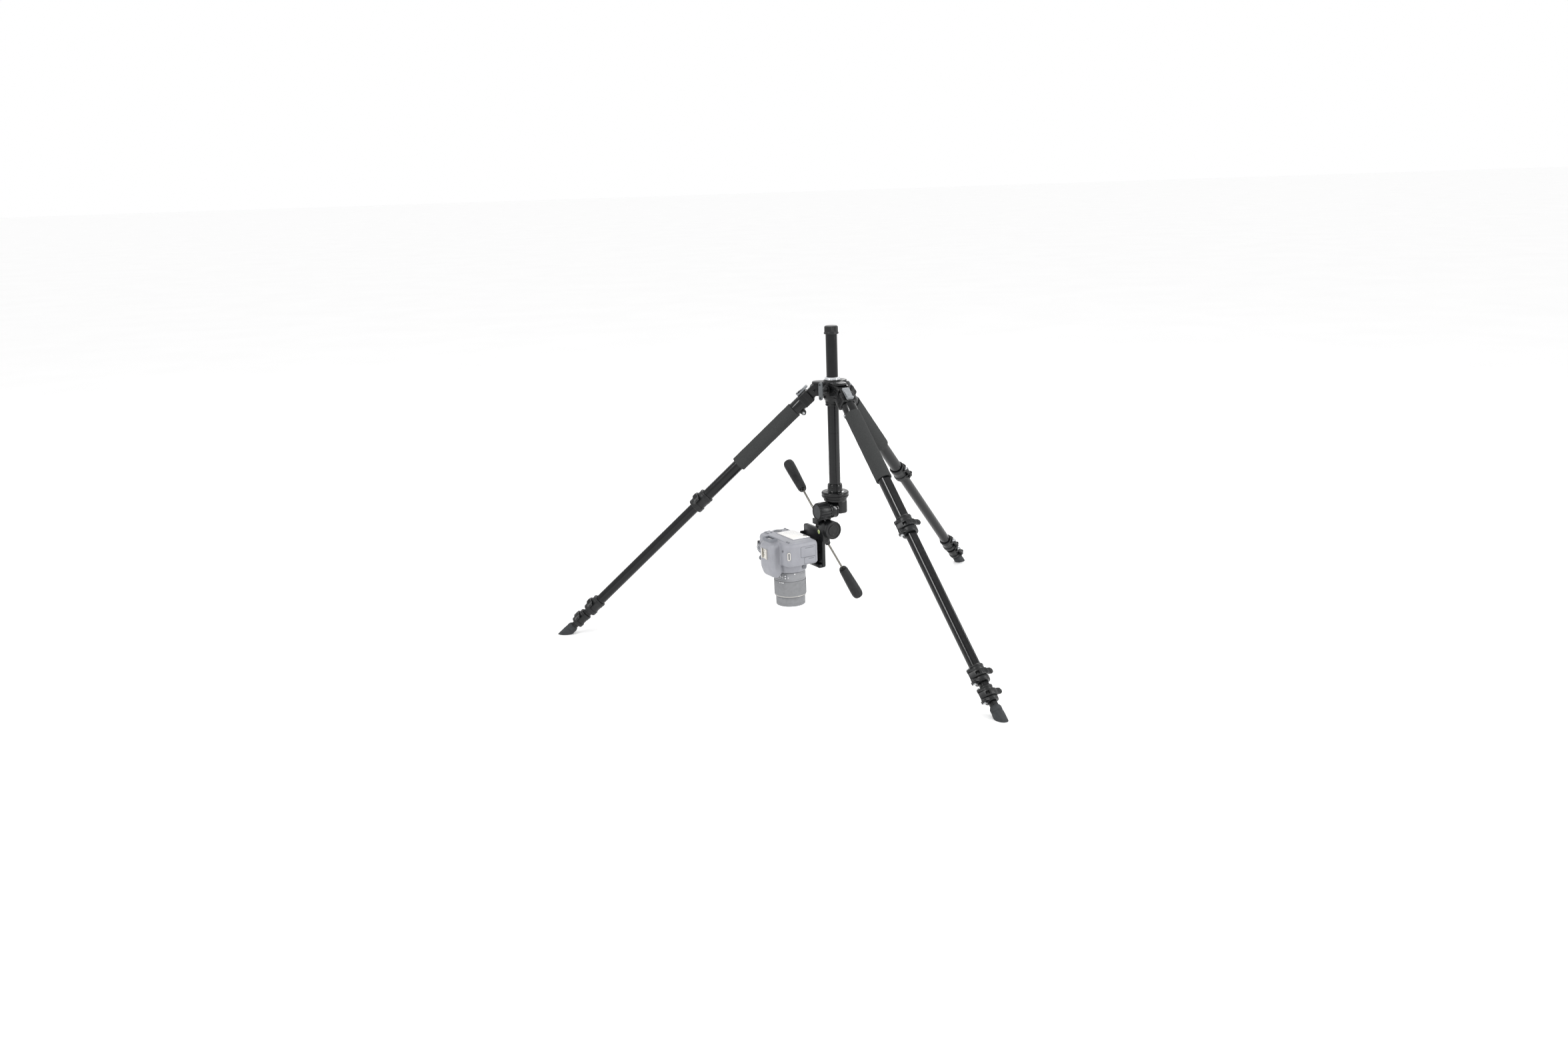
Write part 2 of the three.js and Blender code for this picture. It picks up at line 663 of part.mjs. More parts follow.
function panBody() {
  const disc = drum(PAN_RADIUS, panDiscBottom, panTop, 0, 0, ROUND, 1);
  const face = TILT_RING_START - RUN;
  const outline = cutCorners(-22, -17, face - 3.4, 17, 5);
  const block = raise(outline, TILT_AXIS_Z - 9, panDiscBottom + 1);
  const flange = bar(TILT_RING_RADIUS, at(face - 3.6, 0, TILT_AXIS_Z), at(face, 0, TILT_AXIS_Z), ROUND, 0.6);
  const axle = bar(TILT_AXLE_RADIUS, at(face - 4, 0, TILT_AXIS_Z), at(axleEnd, 0, TILT_AXIS_Z), ROUND);
  return join(disc, block, flange, axle);
}

function tiltLockKnob() {
  const start = TILT_RING_END + RUN;
  const outline = [];
  for (let i = 0; i < TILT_KNOB_RIBS; i += 1) {
    const middle = (i * 2 * Math.PI) / TILT_KNOB_RIBS;
    const half = Math.PI / TILT_KNOB_RIBS;
    outline.push(...arc(TILT_KNOB_RADIUS, middle - half * 0.5, middle + half * 0.5, 1));
    outline.push(...arc(TILT_KNOB_RADIUS - 1.4, middle + half * 0.7, middle + half * 1.3, 1));
  }
  const shape = new THREE.Shape(outline);
  const options = { depth: TILT_KNOB_LENGTH - 2, bevelEnabled: false };
  const ribbed = new THREE.ExtrudeGeometry(shape, options)
    .rotateY(Math.PI / 2)
    .translate(start, 0, TILT_AXIS_Z);
  const cap = bar(
    TILT_KNOB_RADIUS - 2.2,
    at(start + TILT_KNOB_LENGTH - 3, 0, TILT_AXIS_Z),
    at(start + TILT_KNOB_LENGTH, 0, TILT_AXIS_Z),
    ROUND,
    0.8,
  );
  const boreEnd = at(axleEnd + RUN, 0, TILT_AXIS_Z);
  const bore = bar(TILT_AXLE_RADIUS + RUN, at(start - 1, 0, TILT_AXIS_Z), boreEnd, ROUND);
  return cut(join(solid(ribbed), cap), bore);
}

// The line of each handle: where it leaves its socket, and its direction.
const TILT_HANDLE_ROOT = at(31, -18, 249.7);
const TILT_HANDLE_LINE = at(0, -0.772, 0.635).normalize();
const FLIP_HANDLE_ROOT = at(28, 4, 206);
const FLIP_HANDLE_LINE = at(-0.497, 0, -0.868).normalize();

const onLine = (root, line, distance) => root.clone().addScaledVector(line, distance);

function handleSocket(root, line) {
  return bar(SOCKET_RADIUS, onLine(root, line, -3), onLine(root, line, SOCKET_LENGTH), ROUND, 0.8);
}

function socketHole(root, line) {
  const floor = onLine(root, line, SOCKET_LENGTH - SOCKET_DEPTH);
  return bar(ROD_RADIUS + RUN, floor, onLine(root, line, SOCKET_LENGTH + 1), SMALL_ROUND);
}

function handle(root, line) {
  const rodStart = onLine(root, line, SOCKET_LENGTH - SOCKET_DEPTH + RUN);
  const gripStart = onLine(root, line, HANDLE_REACH);
  const rod = bar(ROD_RADIUS, rodStart, onLine(root, line, HANDLE_REACH + 10), SMALL_ROUND);
  const grip = turnedAlong(
    [
      [0, 0],
      [GRIP_SMALL_RADIUS - 1.6, 0],
      [GRIP_SMALL_RADIUS, 2.5],
      [GRIP_SMALL_RADIUS + 0.9, GRIP_LENGTH * 0.3],
      [GRIP_BIG_RADIUS - 0.2, GRIP_LENGTH * 0.72],
      [GRIP_BIG_RADIUS, GRIP_LENGTH - 5],
      [GRIP_BIG_RADIUS - 2.4, GRIP_LENGTH],
      [0, GRIP_LENGTH],
    ],
    gripStart,
    line,
    GRIP_SIDES,
  );
  return join(rod, grip);
}

function tiltBody() {
  const onAxis = (x) => at(x, 0, TILT_AXIS_Z);
  const ring = bar(TILT_RING_RADIUS, onAxis(TILT_RING_START), onAxis(TILT_RING_END), ROUND, 0.6);
  const back = FLIP_BACK - RUN;
  const neckTop = TILT_AXIS_Z - TILT_KNOB_RADIUS - 0.5;
  const riser = box([TILT_RING_START, back - 9, neckTop - 4], [TILT_RING_END, back, TILT_AXIS_Z - 7]);
  const slab = box([TILT_RING_START, back - 22, neckTop - 12], [PLATE_FACE, back, neckTop]);
  const post = box([FLIP_AXIS_X - 11, back - 22, FLIP_AXIS_Z], [FLIP_AXIS_X + 11, back, neckTop - 8]);
  const hub = bar(HUB2_RADIUS, at(FLIP_AXIS_X, HUB2_BACK, FLIP_AXIS_Z), at(FLIP_AXIS_X, back, FLIP_AXIS_Z));
  const axle = bar(
    FLIP_AXLE_RADIUS,
    at(FLIP_AXIS_X, back - 4, FLIP_AXIS_Z),
    at(FLIP_AXIS_X, FLIP_FRONT - 5, FLIP_AXIS_Z),
    ROUND,
  );
  const bore = bar(
    TILT_AXLE_RADIUS + RUN,
    onAxis(TILT_RING_START - 1),
    onAxis(TILT_RING_END + 1),
    ROUND,
  );
  const body = join(ring, riser, slab, post, hub, axle, handleSocket(TILT_HANDLE_ROOT, TILT_HANDLE_LINE));
  return cut(body, bore, socketHole(TILT_HANDLE_ROOT, TILT_HANDLE_LINE));
}

const quickMiddle = lensY - 5; // the quick-release plate's middle, under the camera's lens

function platform() {
  const barrel = bar(
    FLIP_RADIUS,
    at(FLIP_AXIS_X, FLIP_BACK, FLIP_AXIS_Z),
    at(FLIP_AXIS_X, FLIP_FRONT, FLIP_AXIS_Z),
    ROUND,
    0.8,
  );
  const plateBack = PLATE_FACE - PLATE_THICKNESS;
  const wedgeOutline = [
    [FLIP_AXIS_X, FLIP_AXIS_Z + FLIP_RADIUS - 2],
    [FLIP_AXIS_X + 10, FLIP_AXIS_Z + 14],
    [PLATE_FACE, PLATE_TOP],
    [PLATE_FACE, FLIP_AXIS_Z - 24],
    [PLATE_FACE - 9, FLIP_AXIS_Z - 24],
    [FLIP_AXIS_X, FLIP_AXIS_Z - FLIP_RADIUS + 2],
  ].map(([x, z]) => new THREE.Vector2(x, z));
  const wedge = solid(
    new THREE.ExtrudeGeometry(new THREE.Shape(wedgeOutline), {
      depth: FLIP_FRONT - 10 - FLIP_BACK,
      bevelEnabled: false,
    })
      .rotateX(Math.PI / 2)
      .translate(0, FLIP_FRONT - 10, 0),
  );
  const plate = box([plateBack, PLATE_FAR, PLATE_BOTTOM], [PLATE_FACE, PLATE_NEAR, PLATE_TOP]);
  const cradleHalf = QUICK_PLATE_WIDTH / 2 + 5;
  const cradle = box(
    [PLATE_FACE - 1, quickMiddle - cradleHalf, QUICK_PLATE_TOP - QUICK_PLATE_LENGTH - 4],
    [PLATE_FACE + CRADLE_RISE, quickMiddle + cradleHalf, QUICK_PLATE_TOP],
  );
  const lip = box(
    [plateBack, PLATE_FAR + 12, PLATE_BOTTOM - 0.01],
    [PLATE_FACE + 7, PLATE_NEAR - 2, PLATE_BOTTOM + 8],
  );
  const bore = bar(
    FLIP_AXLE_RADIUS + RUN,
    at(FLIP_AXIS_X, FLIP_BACK - 1, FLIP_AXIS_Z),
    at(FLIP_AXIS_X, FLIP_FRONT - 5 + RUN, FLIP_AXIS_Z),
    ROUND,
  );
  const clearHub = box(
    [FLIP_AXIS_X - 40, PLATE_FAR - 1, FLIP_AXIS_Z - 14],
    [plateBack - 0.01, FLIP_BACK, FLIP_AXIS_Z + 14],
  );
  const bed = cut(join(plate, cradle, lip), clearHub);
  const body = join(bed, barrel, wedge, handleSocket(FLIP_HANDLE_ROOT, FLIP_HANDLE_LINE));
  return cut(body, bore, socketHole(FLIP_HANDLE_ROOT, FLIP_HANDLE_LINE));
}

function quickReleasePlate() {
  const half = QUICK_PLATE_WIDTH / 2;
  return box(
    [PLATE_FACE + CRADLE_RISE + TOUCH, quickMiddle - half, QUICK_PLATE_TOP - QUICK_PLATE_LENGTH],
    [BODY_BASE - TOUCH, quickMiddle + half, QUICK_PLATE_TOP],
  );
}

function quickReleaseLever() {
  const side = PLATE_FAR - RUN;
  const inner = PLATE_FACE - CLAMP_LEVER_WIDTH / 2;
  const outer = PLATE_FACE + CLAMP_LEVER_WIDTH / 2;
  const top = QUICK_PLATE_TOP + 7;
  const bottom = top - CLAMP_LEVER_LENGTH;
  const half = CLAMP_LEVER_THICKNESS / 2;
  const pivotAt = (x) => at(x, side - half, top - half);
  const pivot = bar(half, pivotAt(inner), pivotAt(outer), SMALL_ROUND);
  const arm = box([inner, side - CLAMP_LEVER_THICKNESS, bottom], [outer, side, top - half]);
  const tip = box([inner, side - CLAMP_LEVER_THICKNESS - 6, bottom], [outer, side - 1, bottom + 5]);
  return join(pivot, arm, tip);
}

// ---------------------------------------------------------------- camera

function cameraBody() {
  const shell = raise(cutCorners(BODY_BASE, bodyRight, bodyTop, BODY_LEFT, 7), bodyFront, BODY_BACK);
  const backPanel = raise(
    cutCorners(BODY_BASE + 6, bodyRight + 6, bodyTop - 8, BODY_LEFT - 6, 4),
    BODY_BACK - 1,
    BODY_BACK + 2,
  );
  const humpTop = BODY_BASE + HUMP_TOP;
  const humpSide = [
    [bodyTop - 6, BODY_BACK],
    [humpTop - 6, BODY_BACK],
    [humpTop, BODY_BACK - 8],
    [humpTop, bodyFront - HUMP_FRONT + 22],
    [humpTop - 8, bodyFront - HUMP_FRONT + 3],
    [humpTop - 16, bodyFront - HUMP_FRONT],
    [bodyTop + 2, bodyFront - HUMP_FRONT],
    [bodyTop - 6, bodyFront - HUMP_FRONT + 10],
  ].map(([x, z]) => new THREE.Vector2(x, z));
  const hump = solid(
    new THREE.ExtrudeGeometry(new THREE.Shape(humpSide), { depth: HUMP_WIDTH, bevelEnabled: false })
      .rotateX(Math.PI / 2)
      .translate(0, lensY + HUMP_WIDTH / 2, 0),
  );
  const shoe = box([humpTop - 1, lensY - 11, BODY_BACK - 36], [humpTop + 2.5, lensY + 11, BODY_BACK - 15]);
  const eyecup = box([bodyTop - 6, lensY - 18, BODY_BACK - 1], [humpTop - 3, lensY + 18, BODY_BACK + 7]);
  const eyepiece = box([bodyTop - 1, lensY - 11, BODY_BACK + 3], [humpTop - 8, lensY + 11, BODY_BACK + 8]);
  const bulge = drum(MOUNT_BULGE_RADIUS, mountZ, bodyFront + 4, lensX, lensY, ROUND, 2);
  const grip = raise(
    cutCorners(BODY_BASE + 1, bodyRight, bodyTop - 6, bodyRight + 30, 8),
    bodyFront - 24,
    bodyFront + 4,
  );
  const pocket = bar(
    BUTTON_RADIUS + RUN,
    at(buttonFace - BUTTON_DEPTH, buttonY, buttonZ),
    at(bodyTop, buttonY, buttonZ),
    SMALL_ROUND,
  );
  return cut(join(shell, backPanel, hump, shoe, eyecup, bulge, grip), eyepiece, pocket);
}

function modeDial() {
  const end = at(bodyTop + DIAL_HEIGHT, dialY, dialZ);
  return bar(DIAL_RADIUS, at(bodyTop + RUN, dialY, dialZ), end, ROUND, 0.8);
}

function shutterButton() {
  const floor = buttonFace - BUTTON_DEPTH + BUTTON_TRAVEL + TOUCH;
  const end = at(buttonFace + 2, buttonY, buttonZ);
  return bar(BUTTON_RADIUS, at(floor, buttonY, buttonZ), end, SMALL_ROUND, 0.6);
}

function lensBarrel() {
  return turned(
    [
      [0, barrelEnd - 18],
      [19.5, barrelEnd - 18],
      [19.5, barrelEnd],
      [LENS_RADIUS - 0.6, barrelEnd],
      [LENS_RADIUS - 0.6, mountZ - TOUCH - 3],
      [LENS_RADIUS - 2.5, mountZ - TOUCH],
      [0, mountZ - TOUCH],
    ],
    lensX,
    lensY,
  );
}

function zoomRing() {
  const inner = clearOf(FRONT_RADIUS);
  const top = barrelEnd - RUN;
  return turned(
    [
      [inner, zoomEnd],
      [LENS_RADIUS - 1, zoomEnd],
      [LENS_RADIUS - 1, zoomEnd + 3],
      [LENS_RADIUS, zoomEnd + 3.4],
      [LENS_RADIUS, top],
      [inner, top],
      [inner, zoomEnd],
    ],
    lensX,
    lensY,
  );
}

function frontBarrel() {
  const lipEnd = focusEnd - TOUCH - FRONT_LIP;
  return turned(
    [
      [0, lipEnd + 12],
      [22, lipEnd + 12],
      [FRONT_RADIUS - 3, lipEnd],
      [FRONT_RADIUS, lipEnd],
      [FRONT_RADIUS, focusEnd - TOUCH],
      [focusSeat, focusEnd - TOUCH],
      [focusSeat, focusTop + TOUCH],
      [FRONT_RADIUS, focusTop + TOUCH],
      [FRONT_RADIUS, barrelEnd - 4],
      [19.5 + RUN, barrelEnd - 4],
      [19.5 + RUN, barrelEnd - 18 - 15],
      [0, barrelEnd - 18 - 15],
    ],
    lensX,
    lensY,
  );
}

function focusRing() {
  const inner = clearOf(focusSeat);
  return turned(
    [
      [inner, focusEnd],
      [FRONT_RADIUS, focusEnd],
      [FRONT_RADIUS, focusTop],
      [inner, focusTop],
      [inner, focusEnd],
    ],
    lensX,
    lensY,
  );
}

// ---------------------------------------------------------------- assembly

const assembly = new THREE.Group();
for (const [name, turnDegrees] of Object.entries(LEG_TURNS)) assembly.add(leg(name, turnDegrees));
assembly.add(
  node("crown", crown(), casting),
  node("column_bushing", columnBushing(), chrome),
  node("column_lock_knob", columnLockKnob(), plastic),
  node("centre_column", centreColumn(), lacquer),
  node("column_cap", columnCap(), plastic),
  node("head_mount", headMount(), casting),
);

const head = new THREE.Group();
head.rotation.z = HEAD_TURN;
head.add(
  node("pan_body", panBody(), casting),
  node("tilt_lock_knob", tiltLockKnob(), plastic),
  node("tilt_body", tiltBody(), casting),
  node("tilt_handle", handle(TILT_HANDLE_ROOT, TILT_HANDLE_LINE), foam),
  node("platform", platform(), casting),
  node("flip_handle", handle(FLIP_HANDLE_ROOT, FLIP_HANDLE_LINE), foam),
  node("quick_release_plate", quickReleasePlate(), plastic),
  node("quick_release_lever", quickReleaseLever(), plastic),
  node("camera_body", cameraBody(), greyPlastic),
  node("mode_dial", modeDial(), greyPlastic),
  node("shutter_button", shutterButton(), greyPlastic),
  node("lens_barrel", lensBarrel(), greyPlastic),
  node("zoom_ring", zoomRing(), greyPlastic),
  node("front_barrel", frontBarrel(), greyPlastic),
  node("focus_ring", focusRing(), greyPlastic),
);
assembly.add(head);

// The origin is on the floor under the middle of the whole tripod.
const extent = new THREE.Box3().setFromObject(assembly, true);
const middle = extent.getCenter(new THREE.Vector3());
assembly.position.set(-middle.x, -middle.y, 0);

const tripod = new THREE.Group();
tripod.add(assembly);
tripod.updateMatrixWorld(true);

export default tripod;
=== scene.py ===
"""A four-section tripod with its column turned over and a camera hung lens down from its head.

Shapes are drawn in millimetres, in the frame of the part that they belong to, and placed in metres.
"""

import json
import math

import bmesh
import bpy
from mathutils import Matrix, Vector


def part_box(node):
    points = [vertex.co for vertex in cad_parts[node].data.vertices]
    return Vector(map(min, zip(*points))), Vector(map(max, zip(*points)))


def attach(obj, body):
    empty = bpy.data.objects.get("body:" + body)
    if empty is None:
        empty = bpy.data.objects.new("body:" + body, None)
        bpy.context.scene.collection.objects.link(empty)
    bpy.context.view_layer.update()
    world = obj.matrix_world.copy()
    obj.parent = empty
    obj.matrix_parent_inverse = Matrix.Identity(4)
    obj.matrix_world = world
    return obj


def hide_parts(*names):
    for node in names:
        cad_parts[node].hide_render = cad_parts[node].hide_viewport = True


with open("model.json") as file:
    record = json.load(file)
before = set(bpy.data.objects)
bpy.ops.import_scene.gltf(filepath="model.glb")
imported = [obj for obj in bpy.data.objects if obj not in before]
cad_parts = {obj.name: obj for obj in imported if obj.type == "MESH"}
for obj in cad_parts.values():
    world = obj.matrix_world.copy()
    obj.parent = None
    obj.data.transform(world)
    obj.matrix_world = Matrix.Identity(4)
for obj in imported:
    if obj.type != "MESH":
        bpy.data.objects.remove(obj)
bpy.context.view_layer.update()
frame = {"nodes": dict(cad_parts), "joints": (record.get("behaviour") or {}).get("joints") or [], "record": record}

MM = 0.001
TURN = 2 * math.pi
JOINTS = {joint["name"]: joint for joint in frame["joints"]}
BODY_OF = {
    node: body
    for body, nodes in frame["record"]["behaviour"]["bodies"].items()
    for node in nodes
}
LEGS = ("left", "front", "rear")
GAP = 0.2  # between a bore and what is in it

# ------------------------------------------------------------------ materials


def colour(code):
    """A linear colour from an sRGB hex value."""
    parts = [int(code[i : i + 2], 16) / 255 for i in (0, 2, 4)]
    return [c / 12.92 if c <= 0.04045 else ((c + 0.055) / 1.055) ** 2.4 for c in parts] + [1]


def add(tree, kind, settings=None, stops=(), **inputs):
    """A shader node with its settings and colour stops; an input is a value or a linked socket."""
    made = tree.nodes.new("ShaderNode" + kind)
    for name, value in (settings or {}).items():
        setattr(made, name, value)
    for i, (position, code) in enumerate(stops):
        made.color_ramp.elements[i].position = position
        made.color_ramp.elements[i].color = colour(code)
    join(tree, made, **inputs)
    return made


def join(tree, node, **inputs):
    """Sets a node's inputs: a value is written in, and a socket is linked."""
    for name, value in inputs.items():
        socket = node.inputs[int(name[1:]) if name[1:].isdigit() else name.replace("_", " ")]
        if isinstance(value, bpy.types.NodeSocket):
            tree.links.new(value, socket)
        else:
            socket.default_value = value


def finish(name, base, roughness, **inputs):
    """A material with a plain Principled shader: it, its tree, its shader and a point's place."""
    made = bpy.data.materials.new(name)
    made.use_nodes = True
    tree = made.node_tree
    shader = tree.nodes["Principled BSDF"]
    join(tree, shader, Base_Color=colour(base), Roughness=roughness, **inputs)
    return made, tree, shader, add(tree, "TexCoord").outputs["Object"]


def per_metre(size):
    """How many grains of a size in millimetres lie along a metre."""
    return 1 / (size * MM)


def blend(dark, light):
    """Colour stops from dark to light over the middle of a noise, where most of it lies."""
    return (0.3, dark), (0.7, light)


def tube_lacquer():
    """Aluminium tube under clear black lacquer: deep gloss, light scuffs 9 mm wide, fine grain."""
    made, tree, shader, where = finish(
        "black_lacquered_aluminium", "0b0c0e", 0.2, Specular_IOR_Level=0.3
    )
    scuffs = add(tree, "TexNoise", Vector=where, Scale=per_metre(9.0), Detail=6.0).outputs["Fac"]
    gloss = add(tree, "MapRange", Value=scuffs, To_Min=0.1, To_Max=0.2)
    tone = add(tree, "ValToRGB", stops=blend("08090a", "101113"), Fac=scuffs)
    grain = add(tree, "TexNoise", Vector=where, Scale=per_metre(0.8), Detail=3.0)
    relief = add(tree, "Bump", Height=grain.outputs["Fac"], Strength=0.08, Distance=0.05 * MM)
    join(
        tree,
        shader,
        Base_Color=tone.outputs["Color"],
        Roughness=gloss.outputs["Result"],
        Normal=relief.outputs["Normal"],
    )
    return made


def casting_paint(name="painted_die_casting", base="0c0d0e", light="141516", roughness=0.3):
    """Die-cast alloy under semi-gloss black paint: 1.1 mm orange peel and paler rubbed patches."""
    made, tree, shader, where = finish(name, base, roughness, Specular_IOR_Level=0.32)
    peel = add(tree, "TexNoise", Vector=where, Scale=per_metre(1.1), Detail=2.0)
    relief = add(tree, "Bump", Height=peel.outputs["Fac"], Strength=0.22, Distance=0.12 * MM)
    patches = add(tree, "TexNoise", Vector=where, Scale=per_metre(7.0), Detail=5.0).outputs["Fac"]
    tone = add(tree, "ValToRGB", stops=blend(base, light), Fac=patches)
    gloss = add(
        tree, "MapRange", Value=patches, To_Min=roughness - 0.1, To_Max=roughness + 0.12
    )
    join(
        tree,
        shader,
        Base_Color=tone.outputs["Color"],
        Roughness=gloss.outputs["Result"],
        Normal=relief.outputs["Normal"],
    )
    return made


def moulded_nylon(name="glass_filled_nylon", base="0f1011", light="191a1b", roughness=0.36):
    """Glass-filled nylon, moulded: satin, with a fine 0.45 mm grain left by the mould."""
    made, tree, shader, where = finish(name, base, roughness, Specular_IOR_Level=0.35)
    grain = add(tree, "TexNoise", Vector=where, Scale=per_metre(0.45), Detail=2.0)
    relief = add(tree, "Bump", Height=grain.outputs["Fac"], Strength=0.3, Distance=0.08 * MM)
    flow = add(tree, "TexNoise", Vector=where, Scale=per_metre(5.0), Detail=4.0).outputs["Fac"]
    tone = add(tree, "ValToRGB", stops=blend(base, light), Fac=flow)
    gloss = add(tree, "MapRange", Value=flow, To_Min=roughness - 0.08, To_Max=roughness + 0.1)
    join(
        tree,
        shader,
        Base_Color=tone.outputs["Color"],
        Roughness=gloss.outputs["Result"],
        Normal=relief.outputs["Normal"],
    )
    return made


def cell_foam():
    """Closed-cell foam sleeve: matt, skinned, with open cells drawn at 0.9 mm so that they show."""
    made, tree, shader, where = finish("closed_cell_foam", "363737", 0.95, Specular_IOR_Level=0.15)
    cells = add(tree, "TexVoronoi", Vector=where, Scale=per_metre(0.9), Randomness=1.0)
    skin = add(tree, "TexNoise", Vector=where, Scale=per_metre(1.4), Detail=8.0).outputs["Fac"]
    tone = add(tree, "ValToRGB", stops=blend("313232", "3c3d3d"), Fac=skin)
    depth = add(tree, "Math", {"operation": "MULTIPLY"}, _0=cells.outputs["Distance"], _1=skin)
    relief = add(tree, "Bump", Height=depth.outputs["Value"], Strength=0.7, Distance=0.35 * MM)
    join(tree, shader, Base_Color=tone.outputs["Color"], Normal=relief.outputs["Normal"])
    return made


def moulded_rubber(name="moulded_rubber", base="2a2c2e", light="393b3d", roughness=0.7):
    """Moulded rubber: dull, with 0.6 mm pores and a film of dust in 6 mm patches."""
    made, tree, shader, where = finish(name, base, roughness, Specular_IOR_Level=0.25)
    pores = add(tree, "TexNoise", Vector=where, Scale=per_metre(0.6), Detail=3.0)
    relief = add(tree, "Bump", Height=pores.outputs["Fac"], Strength=0.45, Distance=0.12 * MM)
    dust = add(tree, "TexNoise", Vector=where, Scale=per_metre(6.0), Detail=6.0).outputs["Fac"]
    tone = add(tree, "ValToRGB", stops=blend(base, light), Fac=dust)
    gloss = add(tree, "MapRange", Value=dust, To_Min=roughness - 0.1, To_Max=roughness + 0.12)
    join(
        tree,
        shader,
        Base_Color=tone.outputs["Color"],
        Roughness=gloss.outputs["Result"],
        Normal=relief.outputs["Normal"],
    )
    return made


def bright_metal(name, base, roughness, grain):
    """Plated or drawn metal: brushing along its length that streaks its shine a little."""
    made, tree, shader, where = finish(name, base, roughness, Metallic=1.0)
    drawn = add(tree, "Mapping", Vector=where, Scale=(1, 1, 0.08)).outputs["Vector"]
    brushing = add(tree, "TexNoise", Vector=drawn, Scale=per_metre(grain), Detail=4.0).outputs["Fac"]
    gloss = add(
        tree, "MapRange", Value=brushing, To_Min=roughness * 0.6, To_Max=roughness * 1.6
    )
    relief = add(tree, "Bump", Height=brushing, Strength=0.05, Distance=0.05 * MM)
    join(tree, shader, Roughness=gloss.outputs["Result"], Normal=relief.outputs["Normal"])
    return made


def camera_plastic(name, base, light, roughness=0.5, grain=0.35, strength=0.3):
    """Spark-eroded grey camera plastic: a fine even stipple under a satin face."""
    made, tree, shader, where = finish(name, base, roughness)
    stipple = add(tree, "TexNoise", Vector=where, Scale=per_metre(grain), Detail=2.0)
    relief = add(tree, "Bump", Height=stipple.outputs["Fac"], Strength=strength, Distance=0.1 * MM)
    cloud = add(tree, "TexNoise", Vector=where, Scale=per_metre(14.0), Detail=3.0).outputs["Fac"]
    tone = add(tree, "ValToRGB", stops=blend(base, light), Fac=cloud)
    gloss = add(tree, "MapRange", Value=cloud, To_Min=roughness - 0.06, To_Max=roughness + 0.08)
    join(
        tree,
        shader,
        Base_Color=tone.outputs["Color"],
        Roughness=gloss.outputs["Result"],
        Normal=relief.outputs["Normal"],
    )
    return made


def grip_leatherette():
    """Rubber covering with a leather print: soft pebbles about 1.6 mm across."""
    made, tree, shader, where = finish("pebbled_grip_rubber", "76777d", 0.68)
    pebbles = add(
        tree, "TexVoronoi", {"feature": "SMOOTH_F1"}, Vector=where, Scale=per_metre(1.6)
    ).outputs["Distance"]
    relief = add(tree, "Bump", Height=pebbles, Strength=0.5, Distance=0.35 * MM)
    tone = add(tree, "ValToRGB", stops=blend("6c6d73", "7f8086"), Fac=pebbles)
    join(tree, shader, Base_Color=tone.outputs["Color"], Normal=relief.outputs["Normal"])
    return made


def clear_cover(name, base, light, roughness=0.08):
    """A glossy moulded window: clear coat over a flat colour with a faint cloudiness; on the screen both are a
    painted reflection of the white surround.
    """
    made, tree, shader, where = finish(
        name, base, roughness, Coat_Weight=1.0, Coat_Roughness=0.03
    )
    cloud = add(tree, "TexNoise", Vector=where, Scale=per_metre(18.0), Detail=2.0)
    tone = add(tree, "ValToRGB", stops=blend(base, light), Fac=cloud.outputs["Fac"])
    join(tree, shader, Base_Color=tone.outputs["Color"])
    return made


LACQUER = tube_lacquer()
CASTING = casting_paint()
GLOSSY_CASTING = casting_paint("polished_black_enamel", "090a0b", "0f1011", 0.16)
NYLON = moulded_nylon()
FOAM = cell_foam()
FOOT_RUBBER = moulded_rubber()
HANDLE_RUBBER = moulded_rubber("ribbed_handle_rubber", "17181a", "242526", 0.55)
PALE_NYLON = moulded_nylon("pale_grey_nylon", "7d8083", "8d9093", 0.4)
PADDLE_NYLON = moulded_nylon("slate_grey_nylon", "4b4e50", "585b5d", 0.42)
FACE_GREY = moulded_nylon("sanded_grey_disc", "2f3133", "3a3c3e", 0.6)
CHROME = bright_metal("polished_chrome", "d6d8db", 0.1, 2.0)
STEEL = bright_metal("zinc_plated_steel", "b4b6b8", 0.26, 0.8)
ROD_STEEL = bright_metal("darkened_steel_rod", "77756f", 0.28, 0.6)
CAMERA = camera_plastic("stippled_grey_abs", "85868c", "8d8e94")
LENS = camera_plastic("satin_grey_polycarbonate", "7e7f82", "86878a", 0.42, 0.5, 0.15)
LENS_RUBBER = moulded_rubber("ribbed_lens_rubber", "797a7c", "828385", 0.7)
# dark grey moulding of buttons, dials, switches and door seams; on the strap lugs' openings and the doors' notches
# the same dark colour is painted shade
CAMERA_DARK = camera_plastic("dark_grey_abs_and_painted_shade", "5d5f64", "6a6c71", 0.45)
CAMERA_RUBBER = moulded_rubber("soft_eyecup_rubber", "707278", "7c7e84", 0.75)
GRIP = grip_leatherette()
# the screen's pale colour and cloudiness are a painted reflection of the white surround that it faces
SCREEN = clear_cover("screen_painted_reflection", "dcd8d3", "e6e3df")
WINDOW = clear_cover("tinted_eyepiece", "3c3e42", "4a4c50")
GLASS = clear_cover("coated_front_glass", "14161f", "232838", 0.03)
BUBBLE = clear_cover("level_vial", "b9cc7c", "d4e0a4")
WHITE = camera_plastic("white_filled_engraving", "e9e9ea", "f2f2f2", 0.5)
RAIL = bright_metal("stamped_shoe_steel", "cfccc5", 0.32, 1.0)

# ------------------------------------------------------------------ outlines and solids


